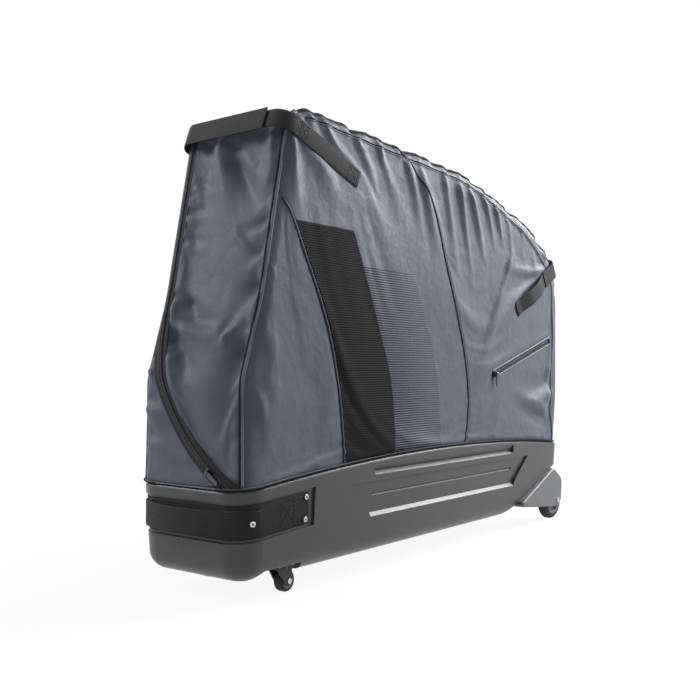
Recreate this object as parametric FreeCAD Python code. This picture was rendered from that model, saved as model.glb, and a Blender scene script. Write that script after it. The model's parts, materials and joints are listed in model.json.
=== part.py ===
import FreeCAD, Part
import math
import os

# Soft-sided bike travel case on a moulded base tray. Lengths are millimetres.
# +Z is up from the ground, -X is the towing end, -Y is the left side, which opens.

# Base tray: a thin moulded tub with draft, rounded corners and an arched rim with a turned-in lip
tray_length = 1239.0
tray_width = 285.0
tray_floor = 37.0
tray_wall = 3.2
tray_draft = 12.0
tray_front_radius = 60.0
tray_rear_radius = 46.0
tray_bottom_radius = 36.0
rim_crown = 232.0
rim_crown_offset = 40.0
rim_fall = 36.2
lip_width = 15.0
lip_height = 9.0
lip_round = 8.0

# Side grooves and the dished panel that they sit in, moulded in both sides of the tray
groove_start_share = -0.390
groove_end_share = 0.556
groove_ledge_shares = (0.800, 0.564)
groove_depth = 8.0
groove_ledge_rise = 7.0
groove_height = 20.0
dish_ledge_share = 0.380
dish_top_share = 0.740
dish_depth = 7.0
dish_ledge_rise = 7.0
dish_flare = 80.0

# Clamp strip that holds the cloth hem against the lip
clamp_thickness = 2.5
clamp_height = 12.0

# Tow strap round the front: a wide band in a recess, a grip over it and the rivets
tow_height = 140.5
tow_rise = 13.0
tow_recess_width = 70.0
tow_recess_reach = 194.5
tow_recess_depth = 4.5
band_width = 59.5
band_reach = 181.0
band_thickness = 2.5
band_rivet_inset = 10.5
band_rivet_spread = 41.0
grip_width = 46.0
grip_thickness = 3.0
grip_start_angle = 9.0
grip_rivet_angle = 26.0
grip_leave_angle = 66.0
rivet_head_radius = 5.0
rivet_head_height = 1.8
rivet_shank_radius = 2.2
rivet_shank_length = 14.0

# Front swivel casters
caster_setback = 142.5
caster_spacing = 194.6
caster_trail = 13.0
caster_wheel_radius = 20.0
caster_wheel_width = 18.0
caster_core_radius = 14.0
caster_tyre_round = 4.0
caster_axle_radius = 3.0
caster_axle_head = 5.0
caster_axle_head_height = 1.5
caster_wheel_gap = 3.0
caster_side_gap = 1.0
caster_leg = 3.0
caster_leg_end_radius = 8.5
caster_crown = 6.0
caster_crown_radius = 16.0
caster_race = 2.5
caster_race_radius = 13.0
caster_plate = 2.5
caster_plate_length = 50.0
caster_plate_width = 44.0
caster_plate_round = 6.0
caster_pin_radius = 4.0
caster_pin_head = 7.0
caster_pin_head_height = 1.4
caster_screw_radius = 2.0
caster_screw_head = 3.6
caster_screw_head_height = 1.6
caster_screw_inset = 7.0
pocket_front = 70.0
pocket_ramp = 30.0
pocket_rear = 26.0
pocket_step = 10.0
pocket_inboard = 50.0

# Rear wheels in their housings, under the sloping rear haunch of the tray
wheel_setback = 35.8
wheel_spacing = 243.8
wheel_radius = 50.0
wheel_width = 25.0
wheel_core_radius = 36.0
wheel_tyre_round = 9.0
wheel_rim_web = 8.0
wheel_rim_wall = 5.0
wheel_hub_radius = 15.0
bearing_outer_radius = 11.0
bearing_bore_radius = 4.05
bearing_width = 7.0
axle_radius = 4.0
axle_head_radius = 6.5
axle_head_height = 3.0
wheel_slot_gap = 3.0
wheel_rim_gap = 6.0
haunch_start = 256.5
haunch_low = 56.0
haunch_run = 203.0
haunch_rise = 83.0
housing_outboard = 147.0
housing_inboard = 97.0
housing_round = 6.0
housing_shares = ((0.66, 1.12), (0.52, -0.10), (-0.10, -0.32), (-1.78, -0.18))
housing_corner_shares = (0.15, 0.35, 0.48, 0.28, 0.28, 0.40)
housing_screw_radius = 3.0
housing_screw_head = 5.5
housing_screw_head_height = 2.5
housing_screw_length = 18.0
housing_screw_shares = (0.28, 0.62)

# Cloth upper: outline seen from the side, edge rounding and cloth-and-padding thickness
bag_height = 892.0
bag_inset = 11.5
bag_front_inset = 13.5
bag_rear_inset = 29.5
bag_knee_share = 0.432
bag_knee_radius = 150.0
bag_edge_radius = 26.0
panel_thickness = 5.0
bag_shares = (
    (-0.898, 0.606, 0.208),
    (-0.785, 1.000, 0.171),
    (0.242, 0.967, 0.253),
    (0.815, 0.864, 0.530),
    (1.018, 0.752, 0.435),
    (1.012, 0.370, 0.077),
)
front_seam_shares = ((-0.860, 0.853), (-0.607, 0.527), (-0.525, 0.170))
middle_seam_shares = ((-0.270, 1.000), (-0.080, 0.899), (0.019, 0.802), (0.203, 0.480), (0.186, 0.170))
seam_gap = 0.3
front_top_split_share = -0.720
rear_top_split_share = 0.890

# Dark overlay panel on the left side
overlay_thickness = 1.0
overlay_top_share = 0.754
overlay_seam_gap = 5.0
overlay_edge_shares = ((-0.507, 0.754), (-0.330, 0.505), (-0.272, 0.170))

# Main zip: up the front in one sweep, along the right edge, and down the rear in the same sweep
zip_edge = 112.0
zip_sweep_radius = 401.0
zip_sweep_height = 548.6
zip_tape_width = 14.0
zip_tape_thickness = 2.0
zip_gap = 0.6
zip_slider_angle = 54.0
slider_length = 16.0
slider_width = 11.0
slider_height = 5.0
pull_length = 32.0
pull_width = 8.0
pull_thickness = 2.0
pull_pin_radius = 1.2
pull_eye_radius = 3.0
pull_eye_gap = 0.25
slider_post = 2.0
slider_round = 3.0

# Pocket with a slanting zip on the left rear panel
pocket_zip_low_shares = (0.425, 0.4395)
pocket_zip_high_shares = (0.891, 0.5325)
pocket_zip_width = 16.0
pocket_zip_margin = 12.0
pocket_pouch_foot = 24.0
pocket_pouch_thickness = 3.0
pocket_pouch_margin = 14.0

# Webbing: closure strap and tab over the top front edge, grab handle and its sleeve over the top rear edge
strap_thickness = 2.2
front_strap_width = 36.0
front_strap_shares = (-0.462, 0.868)
front_strap_angle = 20.0
front_strap_run_share = 0.3745
front_strap_corner = 30.0
front_strap_reach = -72.0
front_tab_width = 44.0
front_tab_reach = -90.0
front_tab_gap = 1.8
rear_strap_width = 38.0
rear_strap_shares = (0.612, 0.620)
rear_strap_angle = 29.0
rear_strap_run_share = 0.4358
rear_strap_corner = 34.0
rear_handle_reach = 70.0
rear_handle_return = 14.0
rear_sleeve_length = 94.0
rear_sleeve_reach = -62.0
rear_sleeve_width = 42.0

# Inside: floor pad, frame cradle, hold-down straps, wall stays, wheel pockets
pad_thickness = 12.0
pad_front_share = -0.70
pad_rear_share = 0.50
pad_half_width = 92.0
pad_round = 40.0
cradle_length = 160.0
cradle_width = 110.0
cradle_height = 62.0
cradle_notch = 24.0
cradle_round = 12.0
cradle_share = 0.08
hold_strap_width = 25.0
hold_strap_thickness = 2.0
hold_strap_spacing = 90.0
stay_radius = 5.0
stay_shares = (-0.72, 0.91)
stay_top_shares = (0.85, 0.70)
stay_foot = 14.0
wheel_pocket_thickness = 6.0
wheel_pocket_size_share = 0.28
wheel_pocket_share = 0.03
wheel_pocket_foot = 20.0

# Clearances and the overrun of every cut
fit_gap = 0.3
run_gap = 0.05
seat_gap = 0.1
overrun = 40.0
tolerance = 0.01

V = FreeCAD.Vector
half_length = tray_length / 2
half_width = tray_width / 2
rim_reach = half_length + rim_crown_offset
rim_arch_radius = (rim_reach ** 2 + rim_fall ** 2) / (2 * rim_fall)
bag_half = half_width - bag_inset
bag_base = tray_floor + tray_bottom_radius
side_height = rim_crown - tray_floor


def span(share):
    """Place along X from a share of the half length."""
    return share * half_length


def rise(share):
    """Height above the ground from a share of the cloth upper's height."""
    return share * bag_height


def on_side(x, z):
    """Point in the plane of the side view."""
    return V(x, 0, z)


def in_plan(height):
    """Placing function for outlines drawn in plan at one height."""
    return lambda x, y: V(x, y, height)


def on_front(y, z):
    """Point in the plane of the front view."""
    return V(0, y, z)


def rounded_wire(corners, place):
    """Closed wire through corners (u, v, radius), each rounded by its own arc."""
    turns = []
    for index, (u, v, radius) in enumerate(corners):
        here = V(u, v, 0)
        before = corners[index - 1]
        after = corners[(index + 1) % len(corners)]
        back = (V(before[0], before[1], 0) - here).normalize()
        ahead = (V(after[0], after[1], 0) - here).normalize()
        half = back.getAngle(ahead) / 2
        if radius == 0 or abs(math.cos(half)) < tolerance:
            turns.append((here, None, here))
            continue
        reach = radius / math.tan(half)
        middle = here + (back + ahead).normalize() * (radius / math.sin(half) - radius)
        turns.append((here + back * reach, middle, here + ahead * reach))
    edges = []
    for index, (start, middle, end) in enumerate(turns):
        if middle is not None:
            points = [place(p.x, p.y) for p in (start, middle, end)]
            edges.append(Part.Arc(*points).toShape())
        following = turns[(index + 1) % len(turns)][0]
        if end.distanceToPoint(following) > tolerance:
            edges.append(Part.LineSegment(place(end.x, end.y), place(following.x, following.y)).toShape())
    return Part.Wire(edges)


def eased(corners):
    """Corners (u, v, radius) from corners (u, v, share), each rounded over a share of its shorter side."""
    result = []
    for index, (u, v, share) in enumerate(corners):
        here = V(u, v, 0)
        before = corners[index - 1]
        after = corners[(index + 1) % len(corners)]
        back = V(before[0], before[1], 0) - here
        ahead = V(after[0], after[1], 0) - here
        reach = share * min(back.Length, ahead.Length)
        result.append((u, v, reach * math.tan(back.getAngle(ahead) / 2)))
    return result


def plate(wire, along):
    """Solid from a closed flat wire pushed along a vector."""
    return Part.Face(wire).extrude(along)


def across(wire, low, high):
    """Solid from a side-view wire between two places along Y."""
    body = plate(wire, V(0, high - low, 0))
    body.translate(V(0, low, 0))
    return body


def lengthways(wire, low, high):
    """Solid from a front-view wire between two places along X."""
    body = plate(wire, V(high - low, 0, 0))
    body.translate(V(low, 0, 0))
    return body


def block(low, high):
    """Box between two corners."""
    return Part.makeBox(high[0] - low[0], high[1] - low[1], high[2] - low[2], V(*low))


def rod(radius, start, end):
    """Round bar between two points."""
    way = V(*end) - V(*start)
    return Part.makeCylinder(radius, way.Length, V(*start), way)


def mirrored(shape):
    """The same shape on the other side of the case."""
    return shape.mirror(V(0, 0, 0), V(0, 1, 0))


def save(node, *shapes):
    """Writes one node, as one solid or a group of separate solids."""
    solids = [solid for shape in shapes for solid in shape.Solids]
    whole = solids[0] if len(solids) == 1 else Part.makeCompound(solids)
    whole.exportStep("parts/" + node + ".step")


# Base tray

def lean(height):
    """How far the tray's side is drawn in by its draft at one height."""
    return tray_draft * (rim_crown - height) / side_height


def tray_outline(height, inset):
    """Plan outline of the tray's outside at one height, drawn in by an inset."""
    inward = lean(height) + inset
    end = half_length - inward
    side = half_width - inward
    front_round = tray_front_radius - inward
    rear_round = tray_rear_radius - inward
    corners = (
        (-end, -side, front_round),
        (end, -side, rear_round),
        (end, side, rear_round),
        (-end, side, front_round),
    )
    return rounded_wire(corners, in_plan(height))


def tray_form(inset):
    """Solid tub of the tray's outside, drawn in by an inset, with its bottom edge rounded."""
    low = tray_floor + inset
    body = Part.makeLoft([tray_outline(low, inset), tray_outline(rim_crown + overrun, inset)], True, True)
    edges = [edge for edge in body.Edges if edge.BoundBox.ZMax < low + tolerance]
    return body.makeFillet(tray_bottom_radius - inset, edges)


def rim_height(x, lift):
    """Height of the arched rim at one place along X."""
    fall = rim_arch_radius - math.sqrt(rim_arch_radius ** 2 - (x - rim_crown_offset) ** 2)
    return rim_crown + lift - fall


def above_rim(lift):
    """Everything above the arched rim, moved up by a lift."""
    end = half_length + overrun
    points = [on_side(x, rim_height(x, lift)) for x in (-end, rim_crown_offset, end)]
    top = bag_height + overrun
    corners = [points[2], on_side(end, top), on_side(-end, top), points[0]]
    edges = [Part.Arc(*points).toShape()]
    edges += [Part.LineSegment(corners[i], corners[i + 1]).toShape() for i in range(3)]
    return across(Part.Wire(edges), -tray_width, tray_width)


def side_prism(ledge, depth, ledge_rise, height, start, end):
    """Three-cornered prism cut into the left side: a ledge that faces up and a slope above it."""
    face = -half_width + lean(ledge)
    low = ledge - overrun * ledge_rise / depth
    high = ledge + height + overrun * (height - ledge_rise) / depth
    corners = (
        (face - overrun, low, 0),
        (face + depth, ledge + ledge_rise, 0),
        (face - overrun, high, 0),
    )
    return lengthways(rounded_wire(corners, on_front), start, end)


def tray_height(share):
    """Height of a share of the tray's side."""
    return tray_floor + share * side_height


def side_moulding(grow):
    """Grooves and dish of the left side, made larger all round by a wall."""
    start = span(groove_start_share)
    end = span(groove_end_share)
    cuts = []
    for share in groove_ledge_shares:
        ledge = tray_height(share) - grow
        height = groove_height + 2 * grow
        depth = groove_depth + grow
        cuts.append(side_prism(ledge, depth, groove_ledge_rise + grow, height, start - grow, end + grow))
    low = tray_height(dish_ledge_share) - grow
    high = tray_height(dish_top_share) + grow
    flare = overrun + dish_flare
    wedge = side_prism(low, dish_depth + grow, dish_ledge_rise + grow, high - low, start - flare, end + flare)
    corners = (
        (start - grow, low - overrun, 0),
        (end + grow, low - overrun, 0),
        (end + grow, low, dish_flare),
        (end + grow + dish_flare, high, 0),
        (start - grow - dish_flare, high, 0),
        (start - grow, low, dish_flare),
    )
    outline = across(rounded_wire(corners, on_side), -tray_width, 0)
    cuts.append(wedge.common(outline))
    return cuts


def tow_prism(width, reach, grow):
    """Band round the front of the tray in side view, rising towards its rear end."""
    front = -half_length - overrun
    end = -half_length + reach
    slope = tow_rise / tow_recess_reach
    drop = slope * overrun
    half = width / 2 + grow
    lift = slope * reach
    corners = (
        (front, tow_height - half - drop, 0),
        (end + grow, tow_height - half + lift, 0),
        (end + grow, tow_height + half + lift, 0),
        (front, tow_height + half - drop, 0),
    )
    return across(rounded_wire(corners, on_side), -tray_width, tray_width)


caster_ceiling = 2 * caster_wheel_radius + caster_wheel_gap + caster_crown + caster_race + caster_plate
caster_x = -half_length + caster_setback
caster_y = caster_spacing / 2


def caster_pocket(grow):
    """Raised place under the front left corner for the caster, with a ramp ahead of it."""
    low = tray_floor - overrun
    front = caster_x - pocket_front - grow
    rear = caster_x + pocket_rear + grow
    top = caster_ceiling + grow
    corners = (
        (front - pocket_ramp, low, 0),
        (rear + pocket_step, low, 0),
        (rear + pocket_step, tray_floor, 0),
        (rear, top, 0),
        (front, top, 0),
        (front - pocket_ramp, tray_floor - grow, 0),
    )
    return across(rounded_wire(corners, on_side), -half_width - overrun, -pocket_inboard + grow)


haunch_x = half_length - haunch_start
haunch_slope = haunch_rise / haunch_run


def haunch_cut(grow):
    """Wedge under the sloping rear of the tray that makes room for the wheel housings."""
    front = haunch_x - overrun
    rear = half_length + overrun
    lift = grow * math.sqrt(1 + haunch_slope ** 2)
    corners = (
        (front, haunch_low - overrun * haunch_slope + lift, 0),
        (front, tray_floor - 2 * overrun, 0),
        (rear, tray_floor - 2 * overrun, 0),
        (rear, haunch_low + (rear - haunch_x) * haunch_slope + lift, 0),
    )
    return across(rounded_wire(corners, on_side), -tray_width, tray_width)


def base_tray():
    """Moulded tub: outside form, less its cavity, with grooves, recess, pockets and lip."""
    outside = tray_form(0)
    cavity = tray_form(tray_wall).cut(above_rim(-lip_height))
    throat = tray_form(lip_width).common(above_rim(-lip_height - lip_width))
    recess = tow_prism(tow_recess_width, tow_recess_reach, 0)
    backing = tow_prism(tow_recess_width, tow_recess_reach, tray_wall)
    cavity = cavity.cut(backing.cut(tray_form(tow_recess_depth + tray_wall)))
    outside = outside.cut(recess.cut(tray_form(tow_recess_depth)))
    outside = outside.cut(haunch_cut(0))
    cavity = cavity.cut(haunch_cut(tray_wall))
    for cut, grown in zip(side_moulding(0), side_moulding(tray_wall)):
        outside = outside.cut(cut).cut(mirrored(cut))
        cavity = cavity.cut(grown).cut(mirrored(grown))
    outside = outside.cut(caster_pocket(0)).cut(mirrored(caster_pocket(0)))
    cavity = cavity.cut(caster_pocket(tray_wall)).cut(mirrored(caster_pocket(tray_wall)))
    outside = outside.cut(above_rim(0))
    crowns = [face for face in outside.Faces if rim_face(face)]
    edges = [edge for face in crowns for edge in face.Edges]
    outside = outside.makeFillet(lip_round, edges)
    body = outside.cut(cavity).cut(throat)
    holes = [rivet_shank(place, way, run_gap) for place, way in band_rivets() + grip_rivets()]
    holes += [housing_screw(share, side, run_gap) for share in housing_screw_shares for side in (-1, 1)]
    holes += [caster_screw(x, y, side, run_gap) for x, y in caster_screw_places() for side in (-1, 1)]
    return body.cut(Part.makeCompound(holes))


def rim_face(face):
    """True for the arched top of the rim."""
    surface = face.Surface
    return isinstance(surface, Part.Cylinder) and abs(surface.Radius - rim_arch_radius) < tolerance


def clamp_strip():
    """Strip all round inside the lip that holds the hem."""
    inset = lip_width + seat_gap
    ring = tray_form(inset).cut(tray_form(inset + clamp_thickness))
    return ring.common(above_rim(-clamp_height)).cut(above_rim(0))


# Tow strap

band_inset = tow_recess_depth - seat_gap - band_thickness
corner_x = -half_length + tray_front_radius
corner_y = half_width - tray_front_radius


def tow_lift(x):
    """Rise of the tow strap at one place along X."""
    return tow_rise * (x + half_length) / tow_recess_reach


def band_rivets():
    """Places and directions of the two rivets at each end of the band."""
    x = -half_length + band_reach - band_rivet_inset
    found = []
    for step in (-1, 1):
        z = tow_height + tow_lift(x) + step * band_rivet_spread / 2
        y = half_width - lean(z + rivet_head_radius) - band_inset + seat_gap
        for side in (-1, 1):
            found.append((V(x, side * y, z), V(0, side, 0)))
    return found


def grip_round(height):
    """Radius of the band's outside round the front corner at one height."""
    return tray_front_radius - lean(height) - band_inset


def grip_rivets():
    """Places and directions of the one rivet at each end of the grip, on the rounded corner."""
    turn = math.radians(grip_rivet_angle)
    out = grip_round(tow_height + grip_width / 2) + fit_gap + grip_thickness + seat_gap
    found = []
    for side in (-1, 1):
        way = V(-math.sin(turn), side * math.cos(turn), 0)
        found.append((V(corner_x, side * corner_y, tow_height) + way * out, way))
    return found


def rivet_shank(place, way, gap):
    """Shank of a rivet, from its head through cloth and tray wall."""
    return Part.makeCylinder(rivet_shank_radius + gap, rivet_shank_length, place, way * -1)


def rivet(place, way):
    """Rivet with a rounded head outside."""
    head = Part.makeCylinder(rivet_head_radius, rivet_head_height, place, way)
    rims = [edge for edge in head.Edges if edge.CenterOfMass.distanceToPoint(place) > rivet_head_height / 2]
    rims = [edge for edge in rims if edge.Closed]
    head = head.makeFillet(rivet_head_height / 2, rims)
    return head.fuse(rivet_shank(place, way, 0)).removeSplitter()


def tow_band():
    """Wide webbing band lying in the recess round the front."""
    layer = tray_form(band_inset).cut(tray_form(band_inset + band_thickness))
    band = layer.common(tow_prism(band_width, band_reach, 0))
    holes = [rivet_shank(place, way, run_gap) for place, way in band_rivets() + grip_rivets()]
    return band.cut(Part.makeCompound(holes))


def grip_edge(radius):
    """Arcs of one face of the grip in plan: round one corner, bowed across the front, round the other."""
    start = math.radians(grip_start_angle)
    leave = math.radians(grip_leave_angle)
    reach = corner_y / math.cos(leave)
    centre_x = corner_x + reach * math.sin(leave)
    bow = radius + reach
    low = tow_height - grip_width / 2

    def corner_point(turn, side):
        return V(corner_x - radius * math.sin(turn), side * (corner_y + radius * math.cos(turn)), low)

    left = [corner_point(turn, -1) for turn in (start, (start + leave) / 2, leave)]
    right = [corner_point(turn, 1) for turn in (leave, (start + leave) / 2, start)]
    return [left, [left[2], V(centre_x - bow, 0, low), right[0]], right]


def tow_grip():
    """Grip webbing, lying on the band at both corners and bowed away from it in front."""
    inner = grip_edge(grip_round(tow_height + grip_width / 2) + fit_gap)
    outer = grip_edge(grip_round(tow_height + grip_width / 2) + fit_gap + grip_thickness)
    edges = [Part.Arc(*points).toShape() for points in inner + outer]
    edges.append(Part.LineSegment(inner[0][0], outer[0][0]).toShape())
    edges.append(Part.LineSegment(inner[2][2], outer[2][2]).toShape())
    grip = plate(Part.Wire(Part.__sortEdges__(edges)), V(0, 0, grip_width))
    holes = [rivet_shank(place, way, run_gap) for place, way in grip_rivets()]
    return grip.cut(Part.makeCompound(holes))


# Front casters, made on the left side

caster_wheel_x = caster_x + caster_trail
caster_crown_low = 2 * caster_wheel_radius + caster_wheel_gap
caster_race_low = caster_crown_low + caster_crown
caster_plate_low = caster_race_low + caster_race
leg_inner = caster_wheel_width / 2 + caster_side_gap


def at_caster(shape, side):
    """Moves a caster piece, made at the middle of the case, to its side."""
    shape.translate(V(0, side * caster_y, 0))
    return shape


def caster_screw_places():
    """Corners of the plate where its screws go, from the swivel axis."""
    x = caster_plate_length / 2 - caster_screw_inset
    y = caster_plate_width / 2 - caster_screw_inset
    return [(x, y), (x, -y), (-x, y), (-x, -y)]


def caster_screw(x, y, side, gap):
    """Screw up through the plate into the tray, with its head below the plate."""
    place = V(caster_x + x, y, caster_plate_low - gap)
    length = caster_plate + tray_wall + gap
    shank = Part.makeCylinder(caster_screw_radius + gap, length, place)
    if gap == 0:
        low = place - V(0, 0, caster_screw_head_height)
        head = Part.makeCylinder(caster_screw_head, caster_screw_head_height, low)
        shank = shank.fuse(head).removeSplitter()
    return at_caster(shank, side)


def caster_plate_piece(side):
    """Mounting plate with its bearing race."""
    x = caster_plate_length / 2
    y = caster_plate_width / 2
    corners = [(caster_x + i * x, j * y, caster_plate_round) for i, j in ((-1, -1), (1, -1), (1, 1), (-1, 1))]
    body = plate(rounded_wire(corners, in_plan(caster_plate_low)), V(0, 0, caster_plate - seat_gap))
    race = rod(caster_race_radius, (caster_x, 0, caster_race_low + fit_gap), (caster_x, 0, caster_plate_low))
    body = body.fuse(race).removeSplitter()
    pin_hole = rod(caster_pin_radius, (caster_x, 0, caster_race_low), (caster_x, 0, caster_ceiling))
    body = at_caster(body.cut(pin_hole), side)
    holes = [caster_screw(x, y, side, run_gap) for x, y in caster_screw_places()]
    return body.cut(Part.makeCompound(holes))


def caster_pin(side):
    """King pin fixed in the plate, with its head under the fork's crown."""
    low = caster_crown_low - fit_gap
    shank = rod(caster_pin_radius, (caster_x, 0, low), (caster_x, 0, caster_ceiling - seat_gap))
    head = rod(caster_pin_head, (caster_x, 0, low - caster_pin_head_height), (caster_x, 0, low))
    return at_caster(shank.fuse(head).removeSplitter(), side)


def caster_fork(side):
    """Swivelling fork: a round crown and two legs that taper to the axle."""
    crown = rod(caster_crown_radius, (caster_x, 0, caster_crown_low), (caster_x, 0, caster_race_low))
    front = caster_x - caster_crown_radius
    rear = caster_x + caster_crown_radius
    end = caster_leg_end_radius
    corners = (
        (front, caster_race_low, 0),
        (front, caster_crown_low, end),
        (caster_wheel_x - end, caster_wheel_radius - end, end),
        (caster_wheel_x + end, caster_wheel_radius - end, end),
        (rear + end / 2, caster_crown_low, end),
        (rear, caster_race_low, 0),
    )
    outline = rounded_wire(corners, on_side)
    body = crown
    for step in (-1, 1):
        near = step * leg_inner
        far = step * (leg_inner + caster_leg)
        body = body.fuse(across(outline, min(near, far), max(near, far)))
    top = across(outline, -leg_inner, leg_inner)
    top = top.common(block((front, -leg_inner, caster_crown_low), (rear + end, leg_inner, caster_race_low)))
    body = body.fuse(top).removeSplitter()
    pin = rod(caster_pin_radius + run_gap, (caster_x, 0, 0), (caster_x, 0, caster_ceiling))
    reach = leg_inner + overrun
    z = caster_wheel_radius
    axle = rod(caster_axle_radius, (caster_wheel_x, -reach, z), (caster_wheel_x, reach, z))
    return at_caster(body.cut(pin).cut(axle), side)


def caster_axle(side):
    """Axle pin through both legs, with a flat head on each."""
    reach = leg_inner + caster_leg
    z = caster_wheel_radius
    body = rod(caster_axle_radius, (caster_wheel_x, -reach, z), (caster_wheel_x, reach, z))
    for step in (-1, 1):
        tip = step * (reach + caster_axle_head_height)
        body = body.fuse(rod(caster_axle_head, (caster_wheel_x, step * reach, z), (caster_wheel_x, tip, z)))
    return at_caster(body.removeSplitter(), side)


def round_rims(body, radius, size):
    """Rounds the two outer rims of a wheel that turns about Y."""
    rims = [edge for edge in body.Edges if edge.Closed and abs(edge.Curve.Radius - radius) < tolerance]
    return body.makeFillet(size, rims)


def wheel_ring(outer, inner, width, x, z):
    """Plain ring about an axle along Y."""
    low = (x, -width / 2, z)
    high = (x, width / 2, z)
    return rod(outer, low, high).cut(rod(inner, low, high))


def caster_tyre(side):
    """Soft tread of the caster wheel."""
    z = caster_wheel_radius
    ring = wheel_ring(caster_wheel_radius, caster_core_radius, caster_wheel_width, caster_wheel_x, z)
    return at_caster(round_rims(ring, caster_wheel_radius, caster_tyre_round), side)


def caster_core(side):
    """Hard core of the caster wheel, running on the axle."""
    bore = caster_axle_radius + run_gap
    ring = wheel_ring(caster_core_radius, bore, caster_wheel_width, caster_wheel_x, caster_wheel_radius)
    return at_caster(ring, side)


# Rear wheels, made on the left side

wheel_x = half_length - wheel_setback
wheel_y = wheel_spacing / 2


def at_wheel(shape, side):
    """Moves a wheel piece, made at the middle of the case, to its side."""
    shape.translate(V(0, side * wheel_y, 0))
    return shape


def on_side_of_case(shape, side):
    """Keeps a piece made on the left, or mirrors it to the right."""
    return shape if side < 0 else mirrored(shape)


hub_half = wheel_width / 2 + wheel_slot_gap - fit_gap


def rear_tyre(side):
    """Rubber tread of a rear wheel."""
    ring = wheel_ring(wheel_radius, wheel_core_radius, wheel_width, wheel_x, wheel_radius)
    return at_wheel(round_rims(ring, wheel_radius, wheel_tyre_round), side)


def rear_core(side):
    """Wheel core: rim, web and hub, with a seat for a bearing at each end."""
    rim_inside = wheel_core_radius - wheel_rim_wall
    rim = wheel_ring(wheel_core_radius, rim_inside, wheel_width, wheel_x, wheel_radius)
    web = wheel_ring(wheel_core_radius, axle_head_radius, wheel_rim_web, wheel_x, wheel_radius)
    hub = wheel_ring(wheel_hub_radius, axle_head_radius, 2 * hub_half, wheel_x, wheel_radius)
    body = rim.fuse(web).fuse(hub).removeSplitter()
    for step in (-1, 1):
        inner = step * (hub_half - bearing_width)
        outer = step * (hub_half + overrun)
        seat = rod(bearing_outer_radius, (wheel_x, inner, wheel_radius), (wheel_x, outer, wheel_radius))
        body = body.cut(seat)
    return at_wheel(body, side)


def rear_bearings(side):
    """Pair of ball bearings in the hub."""
    pair = []
    for step in (-1, 1):
        ring = wheel_ring(bearing_outer_radius, bearing_bore_radius, bearing_width, wheel_x, wheel_radius)
        ring.translate(V(0, step * (hub_half - bearing_width / 2), 0))
        pair.append(at_wheel(ring, side))
    return pair


def axle_bar(radius, low, high):
    """Round bar along the axle of the left rear wheel."""
    return rod(radius, (wheel_x, low, wheel_radius), (wheel_x, high, wheel_radius))


def rear_axle(side):
    """Axle bolt through both cheeks of the housing."""
    low = -housing_outboard
    high = -housing_inboard
    body = axle_bar(axle_radius, low, high)
    body = body.fuse(axle_bar(axle_head_radius, low - axle_head_height, low))
    body = body.fuse(axle_bar(axle_head_radius, high, high + axle_head_height)).removeSplitter()
    return on_side_of_case(body, side)


def housing_screw(share, side, gap):
    """Screw down through the haunch into the housing, head inside the tray."""
    way = V(haunch_slope, 0, -1).normalize()
    place = V(haunch_x + share * haunch_run, -wheel_y, haunch_low + share * haunch_rise)
    place = place - way * (tray_wall + seat_gap)
    body = Part.makeCylinder(housing_screw_radius + gap, housing_screw_length + gap, place, way)
    if gap == 0:
        head = Part.makeCylinder(housing_screw_head, housing_screw_head_height, place, way * -1)
        body = body.fuse(head).removeSplitter()
    return on_side_of_case(body, side)


def wheel_housing(side):
    """Fairing under the haunch that carries the axle between two cheeks."""
    drop = seat_gap * math.sqrt(1 + haunch_slope ** 2)
    places = [(haunch_x, haunch_low - drop), (haunch_x + haunch_run, haunch_low + haunch_rise - drop)]
    places += [(wheel_x + u * wheel_radius, wheel_radius + v * wheel_radius) for u, v in housing_shares]
    corners = [(x, z, share * wheel_radius) for (x, z), share in zip(places, housing_corner_shares)]
    body = across(rounded_wire(corners, on_side), -housing_outboard, -housing_inboard)
    edges = [edge for edge in body.Edges if edge.BoundBox.YMax < -housing_outboard + tolerance]
    body = body.makeFillet(housing_round, edges)
    slot_half = wheel_width / 2 + wheel_slot_gap
    arch = wheel_radius + wheel_rim_gap
    inner = -wheel_y + slot_half
    outer = -wheel_y - slot_half
    behind = wheel_x + arch + overrun
    slot = rod(arch, (wheel_x, outer, wheel_radius), (wheel_x, inner, wheel_radius))
    body = body.cut(slot).cut(block((wheel_x - arch, outer, -overrun), (behind, inner, wheel_radius)))
    rear = block((wheel_x, outer, 0), (behind, inner, wheel_radius + arch))
    body = body.cut(rear).cut(axle_bar(axle_radius, -housing_outboard - overrun, 0))
    body = on_side_of_case(body, side)
    holes = [housing_screw(share, side, run_gap) for share in housing_screw_shares]
    return body.cut(Part.makeCompound(holes))


# Cloth upper

def bag_outline():
    """Side outline of the cloth upper, down into the tray."""
    front = -half_length + bag_front_inset
    rear = half_length - bag_rear_inset
    knee = rise(bag_knee_share)
    corners = [(front, bag_base, 0), (front, knee, 0)]
    corners += [(span(x), rise(z), share) for x, z, share in bag_shares]
    corners.append((rear, bag_base, 0))
    corners = eased(corners)
    corners[1] = (front, knee, bag_knee_radius)
    return rounded_wire(corners, on_side)


def bag_form(inset):
    """Solid form of the cloth upper, drawn in by an inset, with rounded side edges."""
    wire = bag_outline() if inset == 0 else bag_outline().makeOffset2D(-inset)
    half = bag_half - inset
    body = across(wire, -half, half)
    foot = bag_base + inset + tolerance
    edges = [edge for edge in body.Edges if edge.BoundBox.YLength < tolerance and edge.BoundBox.ZMax > foot]
    return body.makeFillet(bag_edge_radius - inset, edges)


def side_field(inset):
    """Left side's flat field, inside the rounded edge, as a thick plate."""
    wire = bag_outline().makeOffset2D(-inset)
    return across(wire, -bag_half - overrun, -bag_half + panel_thickness + tolerance)


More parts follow.
